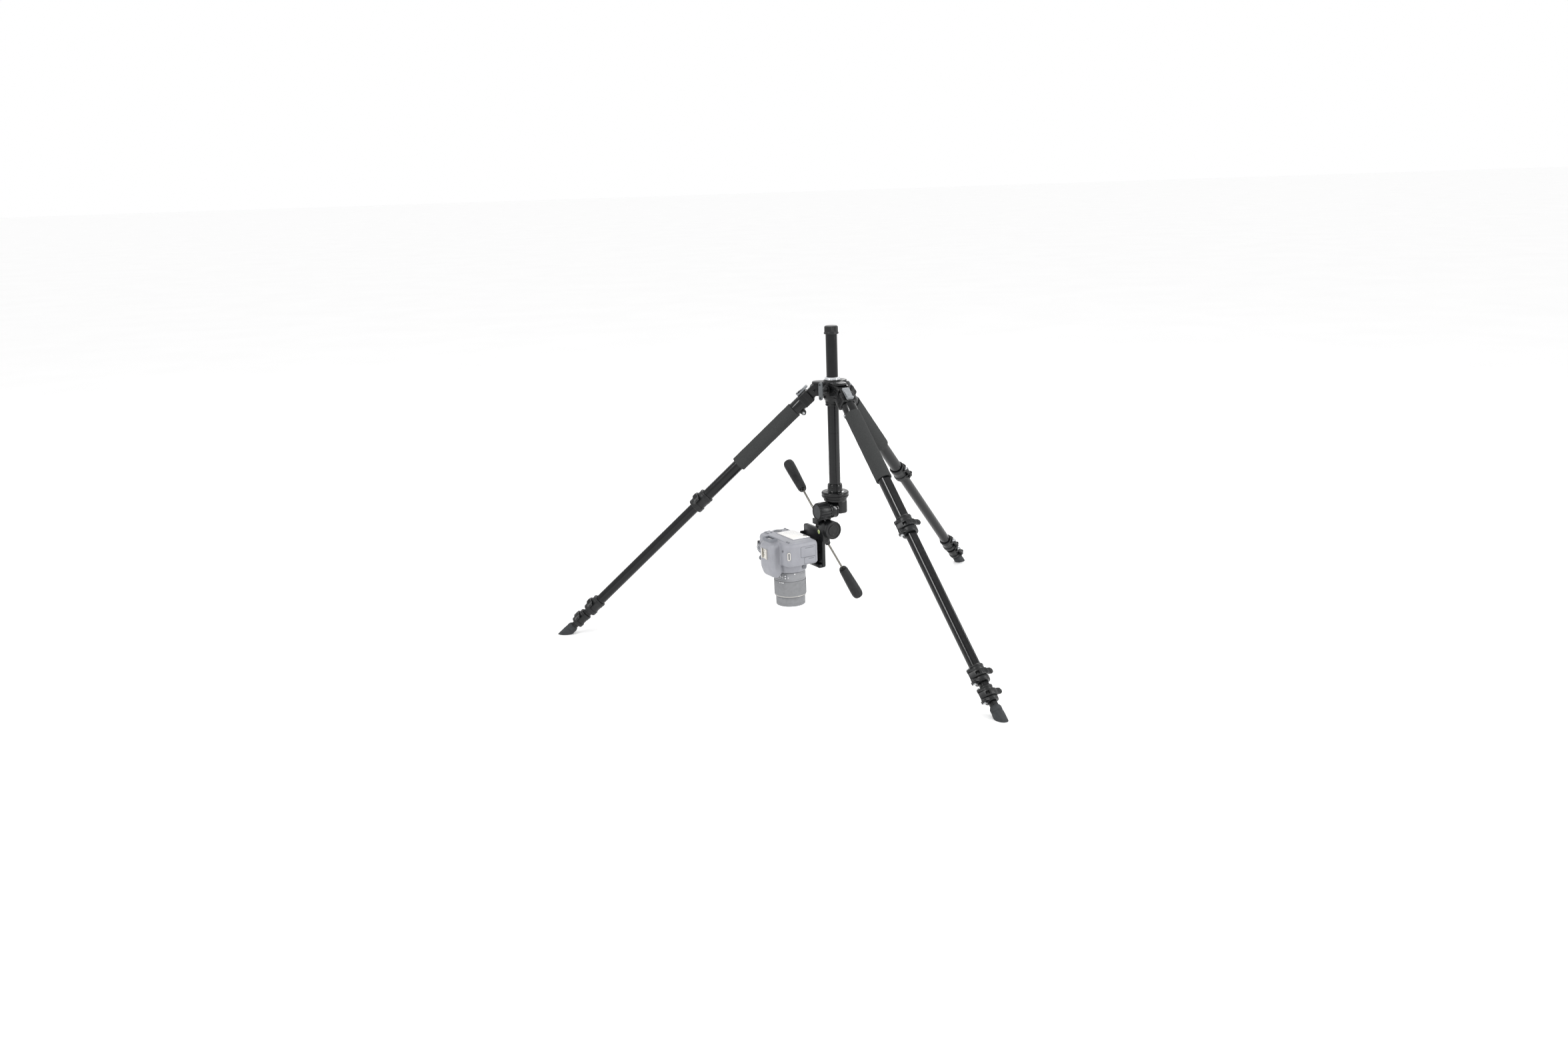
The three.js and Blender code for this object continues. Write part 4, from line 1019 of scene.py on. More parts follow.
def clamp_paddle():
    """The column's clamp: a dark cone, a steel shaft, and a pale paddle with a loop at each end."""
    node = "column_lock_knob"
    turn = turned_to(bearing("column_screw_turn"))
    z = JOINTS["column_screw_turn"]["pos_m"][2] / MM
    seat = span("centre_column", UPRIGHT)[2] + 16.9
    wing_start, wing_depth = seat + 15, 6.4
    cone = turned([(0, 0), (7.4, 0), (7.0, 3), (5.2, 9), (4.4, 15.4), (0, 15.4)], 0.6, 48)
    cone = move(cone, turn @ along((seat, 0, z), (1, 0, 0)))
    piece("column_clamp_cone", cone, UPRIGHT, NYLON, node)
    shaft = rod(3.5, (seat - 8, 0, z), (seat + 2, 0, z))
    piece("column_clamp_shaft", move(shaft, turn), UPRIGHT, STEEL, node)
    half, wide = 18.4, 4.5
    narrow = wide - 0.9
    outline = rounded(
        [
            (-narrow, z - half),
            (narrow, z - half),
            (wide, z),
            (narrow, z + half),
            (-narrow, z + half),
            (-wide, z),
        ],
        4.2,
        5,
    )
    wing = stack(outline, soft(wing_start, wing_start + wing_depth, 1.8, 4), "X")
    for end in (-1, 1):
        loop = circle(1.9, 20, 0, z + end * (half - 5))
        wing = carve(wing, stack(loop, [(wing_start - 2, 0), (wing_start + 9, 0)], "X"))
    piece("column_clamp_paddle", move(wing, turn), UPRIGHT, PADDLE_NYLON, node, [node])


def column():
    """The two-part column, its fluted end cap, and the disc that the head is screwed to."""
    node = "centre_column"
    low, high, radius = span(node, UPRIGHT)
    seam = low.z + 0.36 * (high.z - low.z)  # where its two tubes screw together
    profile = [
        (radius - 1.5, low.z),
        (radius, low.z),
        (radius, seam - 0.5),
        (radius - 0.4, seam - 0.3),
        (radius - 0.4, seam + 0.3),
        (radius, seam + 0.5),
        (radius, high.z),
        (radius - 1.5, high.z),
    ]
    piece("column_tube", lathe(profile, 72), UPRIGHT, LACQUER, node, [node])

    node = "column_cap"
    low, high, rim = span(node, UPRIGHT)
    wall = rim - 1.2
    bore = radius + GAP
    flutes = 36

    def fluted(r, angle, height):
        """Flutes around the cap's wall, above its rim."""
        on_wall = r > wall - 0.3 and height > low.z + 5
        return r - 0.25 * (1 + math.cos(flutes * angle)) if on_wall else r

    outside = [
        (bore, low.z),
        (rim, low.z),
        (rim, low.z + 3),
        (wall, low.z + 4),
        (wall, low.z + 5.5),
        (wall, high.z - 2),
        (wall - 2, high.z),
    ]
    inside = [(0, high.z), (0, high.z - 3.4), (bore, high.z - 3.4)]
    cap = lathe(rounded(outside, 0.6, closed=False) + inside, 4 * flutes, fluted)
    piece("column_end_cap", cap, UPRIGHT, NYLON, node, [node])

    node = "head_mount"
    low, high, disc = span(node, UPRIGHT)
    collar = radius + 3.8
    shoulder = high.z - 16
    profile = [
        (0, low.z),
        (disc - 2.4, low.z),
        (disc - 2.0, low.z + 0.6),
        (disc - 2.0, low.z + 2.4),
        (disc - 0.6, low.z + 2.8),
        (disc, low.z + 3.4),
        (disc, low.z + 5.6),
        (disc - 0.9, low.z + 6.0),
        (disc - 0.9, low.z + 7.0),
        (disc, low.z + 7.4),
        (disc, shoulder - 1.8),
        (disc - 1.6, shoulder),
        (collar + 5, shoulder + 0.01),
        (collar + 0.8, shoulder + 0.8),
        (collar, shoulder + 2.5),
        (collar, high.z - 4),
        (collar - 0.5, high.z - 3.6),
        (collar - 0.5, high.z - 2.6),
        (collar, high.z - 2.2),
        (collar - 0.9, high.z),
        (bore, high.z),
        (bore, shoulder + 3),
        (0, shoulder + 3),
    ]
    mount = turned(profile, 0.35, 96, 2)
    piece("head_mount_disc", mount, UPRIGHT, GLOSSY_CASTING, node, [node])


crown()
bushing()
clamp_paddle()
column()

# ------------------------------------------------------------------ head
# X is on the tilt axis, Y on the flip axis, and Z is the height over the floor.

HEAD = frame_at(AXIS, JOINTS["tilt_turn"]["axis"], (0, 0, 1))
TILT = HEAD.inverted() @ Vector(JOINTS["tilt_turn"]["pos_m"])
FLIP = HEAD.inverted() @ Vector(JOINTS["flip_turn"]["pos_m"])
FLANGE = 17.8  # radius of the barrel on the tilt axis and of the flange that it turns against
FLIP_BARREL = 19.3  # radius of the barrel on the flip axis
FLIP_FRONT, FLIP_BACK = -8.2, 22.5  # where that barrel starts and ends
HUB_BACK = -32  # the far end of the hub that the flip axle stands in
PLATE_FACE = 40.9  # of the camera plate, towards the camera


def line_of(joint):
    """A joint's point and direction in the head's frame."""
    spec = JOINTS[joint]
    back = HEAD.inverted()
    start = back @ Vector(spec["pos_m"])
    return start, (back.to_3x3() @ Vector(spec["axis"])).normalized()


def on_tilt(shape, x):
    """Puts a turned shape on the tilt axis."""
    return move(shape, along((x, 0, TILT.z), (1, 0, 0)))


def on_flip(shape):
    """Puts a turned shape on the flip axis."""
    return move(shape, along((FLIP.x, 0, FLIP.z), (0, 1, 0)))


def socket(joint):
    """Where a handle's rod goes in: a short tapered boss."""
    start, line = line_of(joint)
    profile = [
        (0, -4),
        (9, -4),
        (8.6, 1),
        (7, 4),
        (6.4, 7.5),
        (5.8, 8),
        (5.6, 10.4),
        (4.8, 11),
        (0, 11),
    ]
    return move(turned(profile, 0.6, 36), along(start, line))


def socket_bore(joint):
    """The bore in that boss."""
    start, line = line_of(joint)
    return rod(2.7, start + line * 3, start + line * 14, 0.1)


def pan_body():
    """The disc that pans under the column, with the block and axle that the tilt turns on."""
    low, high, _ = span("pan_body", HEAD)
    disc_radius, disc_low = -low.x, high.z - 5.5
    disc_profile = [(0, disc_low), (disc_radius, disc_low), (disc_radius, high.z), (0, high.z)]
    disc = turned(disc_profile, 1.2, 96)
    block = stack(slab(-22, -17, 1.6, 17, 9), soft(TILT.z - 9, disc_low + 1, 4.5, 5))
    piece("pan_casting", fuse(disc, block), HEAD, CASTING, "pan_body", ["pan_body"])
    flange = turned([(0, 0), (FLANGE, 0), (FLANGE, 3.4), (0, 3.4)], 0.7, 72)
    piece("pan_flange", on_tilt(flange, 1.5), HEAD, GLOSSY_CASTING, "pan_body")
    axle = rod(7.9, (1, 0, TILT.z), (high.x - GAP, 0, TILT.z))
    piece("pan_axle", axle, HEAD, STEEL, "pan_body")
    screw = move(screw_head(3.2, 1.6), along((-21.9, 0, TILT.z + 8), (-1, 0, 0)))
    piece("pan_screw", screw, HEAD, STEEL, "pan_body")


def tilt_knob():
    """A ribbed knob with a sanded grey disc in its face."""
    node = "tilt_lock_knob"
    low, high, _ = span(node, HEAD)
    radius = (high.y - low.y) / 2
    ribs, depth = 18, 1.5
    step = TURN / ribs
    outline = []
    for i in range(ribs):
        centre = TURN * i / ribs
        outline += arc(radius, centre - 0.24 * step, centre + 0.24 * step, 3, 0, TILT.z)
        outline += arc(radius - depth, centre + 0.34 * step, centre + 0.66 * step, 2, 0, TILT.z)
    start, end = low.x, high.x - 1.6
    levels = [
        (start, 1.2),
        (start + 0.5, 0.4),
        (start + 1.4, 0),
        (end - 2.4, 0),
        (end - 0.8, 0.6),
        (end, 1.8),
    ]
    rim = [
        (radius - 3.2, -4),
        (radius - 2.6, -4),
        (radius - 2.3, 0.9),
        (radius - 3.2, 1.5),
        (radius - 4.4, 1.5),
        (radius - 4.6, 0.2),
    ]
    rim_ring = on_tilt(turned(rim, 0.3, 72, 2, closed=True), end)
    bore = stack(circle(8.4, 40, 0, TILT.z), [(start - 1, 0), (28.4, 0)], "X")
    grip = gather(carve(stack(outline, levels, "X"), bore), rim_ring)
    piece("tilt_knob_grip", grip, HEAD, NYLON, node, [node])
    inset = radius - 4.7
    face = turned([(0, -0.3), (inset, -0.3), (inset, 0.5), (0, 0.9)], 0.3, 72)
    piece("tilt_knob_face", on_tilt(face, end), HEAD, FACE_GREY, node)


def tilt_body():
    """The barrel on the tilt axis, and the casting that carries the flip axle below it."""
    bore, end = 8.4, 20
    profile = [
        (bore, 5.4),
        (FLANGE - 0.4, 5.4),
        (FLANGE, 6.2),
        (FLANGE, 16.2),
        (FLANGE - 0.5, 16.6),
        (FLANGE - 0.5, 17.2),
        (FLANGE, 17.6),
        (FLANGE, 19.4),
        (FLANGE - 0.6, end),
        (bore, end),
    ]
    ring = on_tilt(turned(profile, 0.3, 96, 2, closed=True), 0)
    piece("tilt_barrel", ring, HEAD, GLOSSY_CASTING, "tilt_body")
    face = -8.6  # of the casting, towards the barrel on the flip axis
    neck = 249.5  # height where the arm meets the riser
    riser = stack(slab(5.6, face - 9, 19.8, face, 1.5), soft(neck - 4, TILT.z - 7, 0.6))
    arm = stack(slab(5.6, face - 22, 40.8, face, 3.5), soft(neck - 12, neck, 1.6))
    post_outline = slab(FLIP.x - 11, face - 22, FLIP.x + 11, face, 3)
    post = stack(post_outline, soft(FLIP.z - 2, neck - 8, 1.0))
    hub = rod(12, (FLIP.x, HUB_BACK, FLIP.z), (FLIP.x, face, FLIP.z), 1.4)
    skin = fuse(riser, arm, post, hub, socket("tilt_grip_twist"))
    skin = carve(skin, rod(FLANGE + 0.1, (5, 0, TILT.z), (end + 0.4, 0, TILT.z), 0.1, 96))
    skin = carve(skin, socket_bore("tilt_grip_twist"))
    piece("tilt_casting", skin, HEAD, CASTING, "tilt_body", ["tilt_body"])
    axle = rod(6.9, (FLIP.x, face - 3, FLIP.z), (FLIP.x, 17.4, FLIP.z))
    piece("flip_axle", axle, HEAD, STEEL, "tilt_body")
    cap = turned([(0, 0), (9, 0), (9, 0.9), (6.6, 0.9), (6.2, 0.4), (0, 0.4)], 0.25, 48)
    cap = move(cap, along((FLIP.x, HUB_BACK + 0.1, FLIP.z), (0, -1, 0)))
    piece("flip_hub_cap", cap, HEAD, NYLON, "tilt_body")


def handle(node, joint):
    """A steel rod with a faceted rubber grip that swells to its far end."""
    place = HEAD @ along(*line_of(joint))
    reach, length = 78, 82  # where the grip starts, and how long it is
    facets = 10
    piece(f"{node}_rod", rod(2.3, (0, 0, 3.6), (0, 0, reach + 6)), place, ROD_STEEL, node)

    def faceted(radius, angle, height):
        """Flats around the grip that fade into its round ends."""
        sector = TURN / facets
        flat = math.cos(sector / 2) / math.cos(angle % sector - sector / 2)
        ends = min(1.0, (height - reach) / 12, (reach + length - height) / 6)
        return radius * (1 - 0.75 * max(0.0, ends) * (1 - flat))

    profile = [
        (0, reach + 2.6),
        (7.6, reach + 2.6),
        (9.0, reach + 3.6),
        (9.75, reach + 8),
        (10.5, reach + 24),
        (11.3, reach + 44),
        (11.8, reach + 60),
        (12, reach + 72),
        (11.7, reach + 77),
        (9.4, reach + length),
        (0, reach + length),
    ]
    grip = turned(profile, 2.4, 80, 4, bend=faceted)
    piece(f"{node}_grip", grip, place, HANDLE_RUBBER, node, [node], sharp=60)
    profile = [
        (2.5, reach),
        (6.6, reach),
        (7.6, reach + 0.9),
        (7.6, reach + 1.7),
        (6.9, reach + 2.1),
        (8.4, reach + 2.5),
        (8.4, reach + 3.4),
        (2.5, reach + 3.4),
    ]
    ferrule = turned(profile, 0.3, 56, 2, closed=True)
    piece(f"{node}_ferrule", ferrule, place, GLOSSY_CASTING, node)


def platform():
    """The flip barrel, its block and the camera plate with its cradle."""
    x, z, radius, end = FLIP.x, FLIP.z, FLIP_BARREL, FLIP_BACK
    axle = 7.4  # the bore around it
    outside = [
        (axle, FLIP_FRONT),
        (radius - 0.8, FLIP_FRONT),
        (radius, FLIP_FRONT + 0.8),
        (radius, end - 6.4),
        (radius - 0.5, end - 6),
        (radius - 0.5, end - 5.2),
        (radius, end - 4.8),
        (radius, end - 1.2),
        (radius - 1.2, end),
        (radius - 3.0, end),
        (radius - 3.6, end - 1.4),
        (12.2, end - 1.6),
        (12.0, end - 0.6),
        (11.4, end - 0.1),
        (9.6, end - 0.1),
        (9.2, end - 0.7),
    ]
    inside = [(0, end - 0.5), (0, end - 4.6), (axle, end - 4.6)]
    barrel = lathe(rounded(outside, 0.35, 2, closed=False) + inside, 96)
    piece("flip_barrel", on_flip(barrel), HEAD, CASTING, "platform")
    wedge_outline = rounded(
        [
            (x - 2, z + radius - 1),
            (x + 10, z + 14.6),
            (PLATE_FACE - 0.1, 230.8),
            (PLATE_FACE - 0.1, 205),
            (32, 205),
            (x, z - radius + 1),
        ],
        2.0,
    )
    wedge = stack(wedge_outline, soft(FLIP_FRONT, 12.4, 1.0), "Y")
    plate_back, plate_end = 33, 147
    plate = stack(slab(-66, plate_end, 9, 231, 6.5), soft(plate_back, PLATE_FACE, 1.2), "X")
    cradle = stack(slab(-61, 157, -9, 206.8, 3), soft(PLATE_FACE - 0.9, PLATE_FACE + 8, 1.0), "X")
    lip = stack(slab(-54, plate_end, 7, 155.4, 3), soft(plate_back, PLATE_FACE + 6.9, 1.6), "X")
    skin = fuse(plate, wedge, cradle, lip, socket("flip_grip_twist"))
    room = rod(radius + 0.05, (0, 0, FLIP_FRONT - 3), (0, 0, end + 1), 0.1, 96)
    skin = carve(skin, on_flip(room))
    skin = carve(skin, socket_bore("flip_grip_twist"))
    piece("camera_platform", skin, HEAD, CASTING, "platform", ["platform"])
    vial_at = along((PLATE_FACE - 0.2, -3, 224.6), (1, 0, 0))
    bezel_profile = [(4.6, 0), (6.2, 0), (6.2, 0.9), (5.2, 1.2), (4.6, 1.0)]
    bezel = turned(bezel_profile, 0.2, 48, 2, closed=True)
    piece("level_bezel", move(bezel, vial_at), HEAD, NYLON, "platform")
    vial = turned([(0, 0), (4.7, 0), (4.7, 0.5), (0, 1.1)], 0.4, 40)
    piece("level_glass", move(vial, vial_at), HEAD, BUBBLE, "platform")
    ring_profile = [(1.7, 1.0), (2.1, 1.0), (2.1, 1.16), (1.7, 1.16)]
    ring = turned(ring_profile, 0.04, 32, 1, closed=True)
    piece("level_ring", move(ring, vial_at), HEAD, NYLON, "platform")


def quick_release():
    """The plate under the camera's base with its ribbed rubber pad, and the lever that frees it."""
    node = "quick_release_plate"
    low, high, _ = span(node, HEAD)
    outline = slab(low.y, low.z, high.y, high.z, 2.5)
    levels = [
        (low.x, 1.0),
        (low.x + 0.8, 0),
        (high.x - 4.4, 0),
        (high.x - 4.0, 0.8),
        (high.x - 2.4, 0.8),
    ]
    piece("release_plate", stack(outline, levels, "X"), HEAD, PADDLE_NYLON, node, [node])
    ribs, pitch, width = [], 3.6, 2.6
    for i in range(12):
        z = low.z + 1.5 + i * pitch
        rib_outline = slab(low.y + 1, z, high.y - 1, z + width, 0.4)
        ribs.append(stack(rib_outline, soft(high.x - 2.6, high.x - 0.1, 0.3), "X"))
    piece("release_pad", gather(*ribs), HEAD, FOOT_RUBBER, node)
    node = "quick_release_lever"
    low, high, _ = span(node, HEAD)
    outline = rounded(
        [
            *arc(2.4, 0, math.pi, 10, high.y - 2.5, high.z - 2.5),
            (high.y - 5, low.z + 12),
            (low.y + 0.4, low.z + 4),
            (low.y + 0.4, low.z + 0.2),
            (high.y - 3.4, low.z + 0.2),
            (high.y - 0.1, low.z + 6),
        ],
        1.2,
    )
    lever = stack(outline, soft(low.x, high.x, 1.0), "X")
    piece("release_lever", lever, HEAD, NYLON, node, [node])


pan_body()
tilt_knob()
tilt_body()
handle("tilt_handle", "tilt_grip_twist")
platform()
handle("flip_handle", "flip_grip_twist")
quick_release()

# ------------------------------------------------------------------ camera: base towards -X, back up

camera_low, camera_high, _ = span("camera_body", HEAD)
BASE, TOP = round(camera_low.x, 1), round(line_of("dial_turn")[0].x, 1)
RIGHT, LEFT = round(camera_low.y, 1), round(camera_high.y, 1)
BACK = round(camera_high.z, 1) - 7  # the eyecup stands out of it
FRONT = BACK - 50
HUMP = TOP + 22
MOUNT = FRONT - 18.8  # the lens's seat on the throat
GRIP_FACE = FRONT - 23.8  # the front of the hand grip
LENS_AT = HEAD.inverted() @ Vector(JOINTS["zoom_turn"]["pos_m"])


def button_pocket():
    """The bore that the shutter button sinks into."""
    low, high, _ = span("shutter_button", HEAD)
    y, z = (low.y + high.y) / 2, (low.z + high.z) / 2
    radius = (high.y - low.y) / 2 + 0.4
    return rod(radius, (low.x - 1.5, y, z), (high.x + 6, y, z), 0.2)


def camera_body():
    """The camera's shell: a rounded box with a hump, a hand grip and a throat for the lens."""
    ly = LENS_AT.y
    shell_outline = rounded(
        [
            (BASE, RIGHT),
            (TOP - 7, RIGHT),
            (TOP, RIGHT + 18),
            (TOP, LEFT - 12),
            (TOP - 8, LEFT),
            (BASE, LEFT),
        ],
        9,
        6,
    )
    levels = [
        (FRONT, 5),
        (FRONT + 1.5, 2),
        (FRONT + 5, 0),
        (BACK - 7, 0),
        (BACK - 2.4, 1.8),
        (BACK, 5.5),
    ]
    shell = stack(shell_outline, levels)
    panel_outline = rounded(
        [
            (BASE + 7, RIGHT + 9),
            (TOP - 11, RIGHT + 7),
            (TOP - 9, LEFT - 9),
            (BASE + 7, LEFT - 9),
        ],
        5,
        5,
    )
    panel = stack(panel_outline, [(BACK - 2, 0), (BACK + 0.9, 0), (BACK + 1.7, 0.9)])
    hump_outline = rounded(
        [
            (TOP - 8, BACK - 1),
            (HUMP - 7, BACK - 1),
            (HUMP - 0.4, BACK - 9),
            (HUMP - 0.2, FRONT - 6),
            (HUMP - 7, FRONT - 24.5),
            (HUMP - 15, FRONT - 28),
            (TOP + 1, FRONT - 27),
            (TOP - 7, FRONT - 18),
        ],
        6,
        6,
    )
    half = [(13, 0), (20, 1.2), (25, 3.6), (27, 7.5)]
    levels = [(-y, inset) for y, inset in reversed(half)] + half
    hump = move(stack(hump_outline, levels, "Y"), shift(0, ly, 0))
    throat_profile = [(0, 0), (34.6, 0), (36.2, 1.8), (37.8, 12.8), (38, 23.8), (0, 23.8)]
    throat = move(turned(throat_profile, 1.6, 96), shift(LENS_AT.x, ly, MOUNT))
    grip_outline = rounded(
        [
            (BASE + 3, RIGHT + 1),
            (TOP - 9, RIGHT + 1),
            (TOP - 6, RIGHT + 18),
            (TOP - 10, RIGHT + 29),
            (BASE + 3, RIGHT + 29),
        ],
        10,
        6,
    )
    levels = [(0, 9), (1.4, 5), (4.8, 1.6), (9.8, 0), (29.8, 0)]
    grip = move(stack(grip_outline, levels), shift(0, 0, GRIP_FACE))
    eye_outline = rounded(
        [(TOP - 5, ly - 19), (HUMP - 4, ly - 15), (HUMP - 4, ly + 15), (TOP - 5, ly + 19)], 5, 5
    )
    eye = stack(eye_outline, [(BACK - 6, 0), (BACK + 3.4, 1.2)])
    grain = 0.95  # fine enough for the fillets between the moulding's parts
    skin = cast(gather(shell, panel, hump, throat, grip, eye), grain, rounds=4)
    skin = carve(skin, button_pocket())
    piece("camera_shell", skin, HEAD, CAMERA, "camera_body", ["camera_body"], sharp=50)


def trim(name, shape, material):
    """A piece of detail that is fixed to the camera's body."""
    piece(name, shape, HEAD, material, "camera_body")


def camera_back():
    """Screen, eyecup, buttons and pad on the back."""
    ly = LENS_AT.y
    x0, y0, x1, y1 = 66.5, -70, 105.5, 0  # the screen's window
    bezel_levels = [(BACK + 0.6, 0), (BACK + 2.0, 0), (BACK + 2.4, 0.5)]
    bezel = stack(slab(x0 - 2, y0 - 2, x1 + 2, y1 + 2, 3), bezel_levels)
    trim("screen_bezel", bezel, CAMERA)
    # the screen's window, whose pale colour is a painted reflection
    screen_levels = [(BACK + 1.6, 0), (BACK + 2.7, 0), (BACK + 2.85, 0.3)]
    trim("screen_window", stack(slab(x0, y0, x1, y1, 1.4), screen_levels), SCREEN)
    cup_outer = rounded(
        [
            (TOP - 1.5, ly - 19),
            (HUMP - 3, ly - 15.5),
            (HUMP - 3, ly + 15.5),
            (TOP - 1.5, ly + 19),
        ],
        6,
        6,
    )
    cup_inner = shrink(cup_outer, 4.2)
    trim("eyecup", ring_stack(cup_outer, cup_inner, BACK + 1.5, BACK + 6.8), CAMERA_RUBBER)
    eyepiece_levels = [(BACK + 1.5, 0), (BACK + 4.4, 0), (BACK + 4.8, 0.6)]
    trim("eyepiece", stack(cup_inner, eyepiece_levels), WINDOW)
    places = (  # of each button: across, along and its radius
        (122, -79, 2.6),
        (122, -88, 2.6),
        (112, -82, 2.4),
        (72, -82, 2.4),
        (72, -92, 2.4),
        (125, 6, 2.4),
        (125, 13, 2.4),
    )
    buttons = [rod(r, (x, y, BACK + 0.8), (x, y, BACK + 2.8), 0.5, 28) for x, y, r in places]
    trim("back_buttons", gather(*buttons), CAMERA_DARK)
    x, y = 94, -86
    pad_ring = ring_stack(circle(9.2, 56, x, y), circle(4.4, 56, x, y), BACK + 1.2, BACK + 2.6)
    pad_centre = rod(3.7, (x, y, BACK + 1.2), (x, y, BACK + 3.0), 0.6, 36)
    trim("arrow_pad", gather(pad_ring, pad_centre), CAMERA_DARK)
    rest_outline = rounded(
        [(104, RIGHT + 3.5), (121, RIGHT + 4.5), (119, RIGHT + 10), (106, RIGHT + 9)], 2.5
    )
    trim("thumb_rest", stack(rest_outline, soft(BACK - 1, BACK + 1.6, 0.7)), GRIP)


def camera_top():
    """Accessory shoe, the mode dial's seat, buttons and the command wheel."""
    ly = LENS_AT.y
    shoe_half, rail_in, rail_out = 10.8, 7.2, 9.6
    shoe_low, shoe_high = BACK - 36, BACK - 15
    plate = slab(ly - shoe_half, shoe_low, ly + shoe_half, shoe_high, 1.0)
    trim("shoe_floor", stack(plate, soft(HUMP - 1.5, HUMP + 0.4, 0.3), "X"), RAIL)
    rails = []
    for s in (-1, 1):
        y0, y1 = sorted((ly + s * rail_in, ly + s * shoe_half))
        lip = slab(y0, shoe_low, y1, shoe_high, 0.7)
        rails.append(stack(lip, soft(HUMP + 1.5, HUMP + 2.4, 0.3), "X"))
        y0, y1 = sorted((ly + s * rail_out, ly + s * shoe_half))
        wall = slab(y0, shoe_low, y1, shoe_high, 0.4)
        rails.append(stack(wall, soft(HUMP, HUMP + 2, 0.2), "X"))
    trim("shoe_rails", gather(*rails), RAIL)
    contacts = [
        rod(
            0.9,
            (HUMP + 0.2, ly + across, shoe_low + deep),
            (HUMP + 0.65, ly + across, shoe_low + deep),
            0.1,
            20,
        )
        for across, deep in ((0, 8), (-3, 13), (3, 13), (0, 17))
    ]
    trim("shoe_contacts", gather(*contacts), CAMERA_DARK)
    seat_profile = [(10.4, 0), (11.8, 0), (11.8, 0.7), (10.4, 0.7)]
    seat = turned(seat_profile, 0.2, 56, 2, closed=True)
    at = line_of("dial_turn")[0]
    trim("dial_seat", move(seat, along((TOP - 0.3, at.y, at.z), (1, 0, 0))), CAMERA_DARK)
    places = ((-90, 178), (-66, 172), (8, 200))
    tops = [rod(2.2, (TOP - 1, y, z), (TOP + 1.2, y, z), 0.4, 24) for y, z in places]
    trim("top_buttons", gather(*tops), CAMERA_DARK)
    notches = 24

    def notched(radius, angle, height):
        """Notches around the command wheel's rim."""
        return radius - (0.25 * (1 + math.cos(notches * angle)) if radius > 5 else 0)

    wheel = turned([(0, 0), (6, 0), (6, 5), (0, 5)], 0.5, 3 * notches, bend=notched)
    wheel = move(wheel, along((TOP - 4.5, -88.5, 163.5), (0, -1, 0)))
    trim("command_wheel", wheel, CAMERA_DARK)


def camera_sides():
    """Strap lugs, connector doors, lens release, grip covering and battery door."""
    for name, y in (("left", LEFT), ("right", RIGHT)):
        s = 1 if y > 0 else -1
        low_y, high_y = sorted((y - s * 1.5, y - s * 0.2))
        outer = slab(128.5, 182.5, 135.5, 199.5, 3.4)
        lug = ring_stack(outer, shrink(outer, 1.6), low_y, high_y, "Y")
        trim(f"{name}_strap_lug", lug, RAIL)
        # a dark sheet inside each lug's ring: painted shade in the strap's opening
        bed = stack(slab(130, 184, 134, 198, 1.9), soft(low_y + 0.1, high_y - 0.6, 0.1), "Y")
        trim(f"{name}_strap_slot_painted_shade", bed, CAMERA_DARK)
    y = LEFT - 0.15
    for name, box in (("upper", (68, 184.5, 103, 206.5)), ("lower", (68, 170, 95, 183))):
        x0, z0, x1, z1 = box
        groove = slab(x0 - 0.8, z0 - 0.8, x1 + 0.8, z1 + 0.8, 3)
        trim(f"{name}_door_seam", stack(groove, soft(y - 1, y + 0.2, 0.1), "Y"), CAMERA_DARK)
        door = stack(slab(x0, z0, x1, z1, 2.6), soft(y - 1, y + 0.6, 0.35), "Y")
        trim(f"{name}_door", door, CAMERA)
        # a dark strip on each door where its finger notch is: painted shade of the notch
        notch = slab(x0 + 4, z1 - 3.6, x1 - 10, z1 - 2.2, 0.6)
        trim(f"{name}_door_notch_painted_shade", stack(notch, soft(y, y + 0.75, 0.05), "Y"), CAMERA_DARK)
    x, y, z = LENS_AT.x - 14, LENS_AT.y + 35.5, FRONT - 8
    trim("lens_release", rod(4.6, (x, y, z), (x, y + 2.9, z), 0.8, 40), CAMERA_DARK)
    cover_outline = rounded(
        [
            (BASE + 5, RIGHT + 0.4),
            (TOP - 12, RIGHT + 0.4),
            (TOP - 9, RIGHT + 14),
            (TOP - 12, RIGHT + 28.6),
            (BASE + 5, RIGHT + 28.6),
        ],
        10,
        6,
    )
    levels = [(-0.3, 9.4), (1.1, 5.2), (4.8, 1.4), (9.8, -0.2), (25.8, -0.2), (26.2, 0.6)]
    covering = move(stack(cover_outline, levels), shift(0, 0, GRIP_FACE))
    trim("grip_covering", carve(covering, button_pocket()), GRIP)
    battery = slab(RIGHT + 20, 175, RIGHT + 50, 205, 3)
    trim("battery_door", stack(battery, soft(BASE - 0.2, BASE + 0.7, 0.2), "X"), CAMERA_DARK)


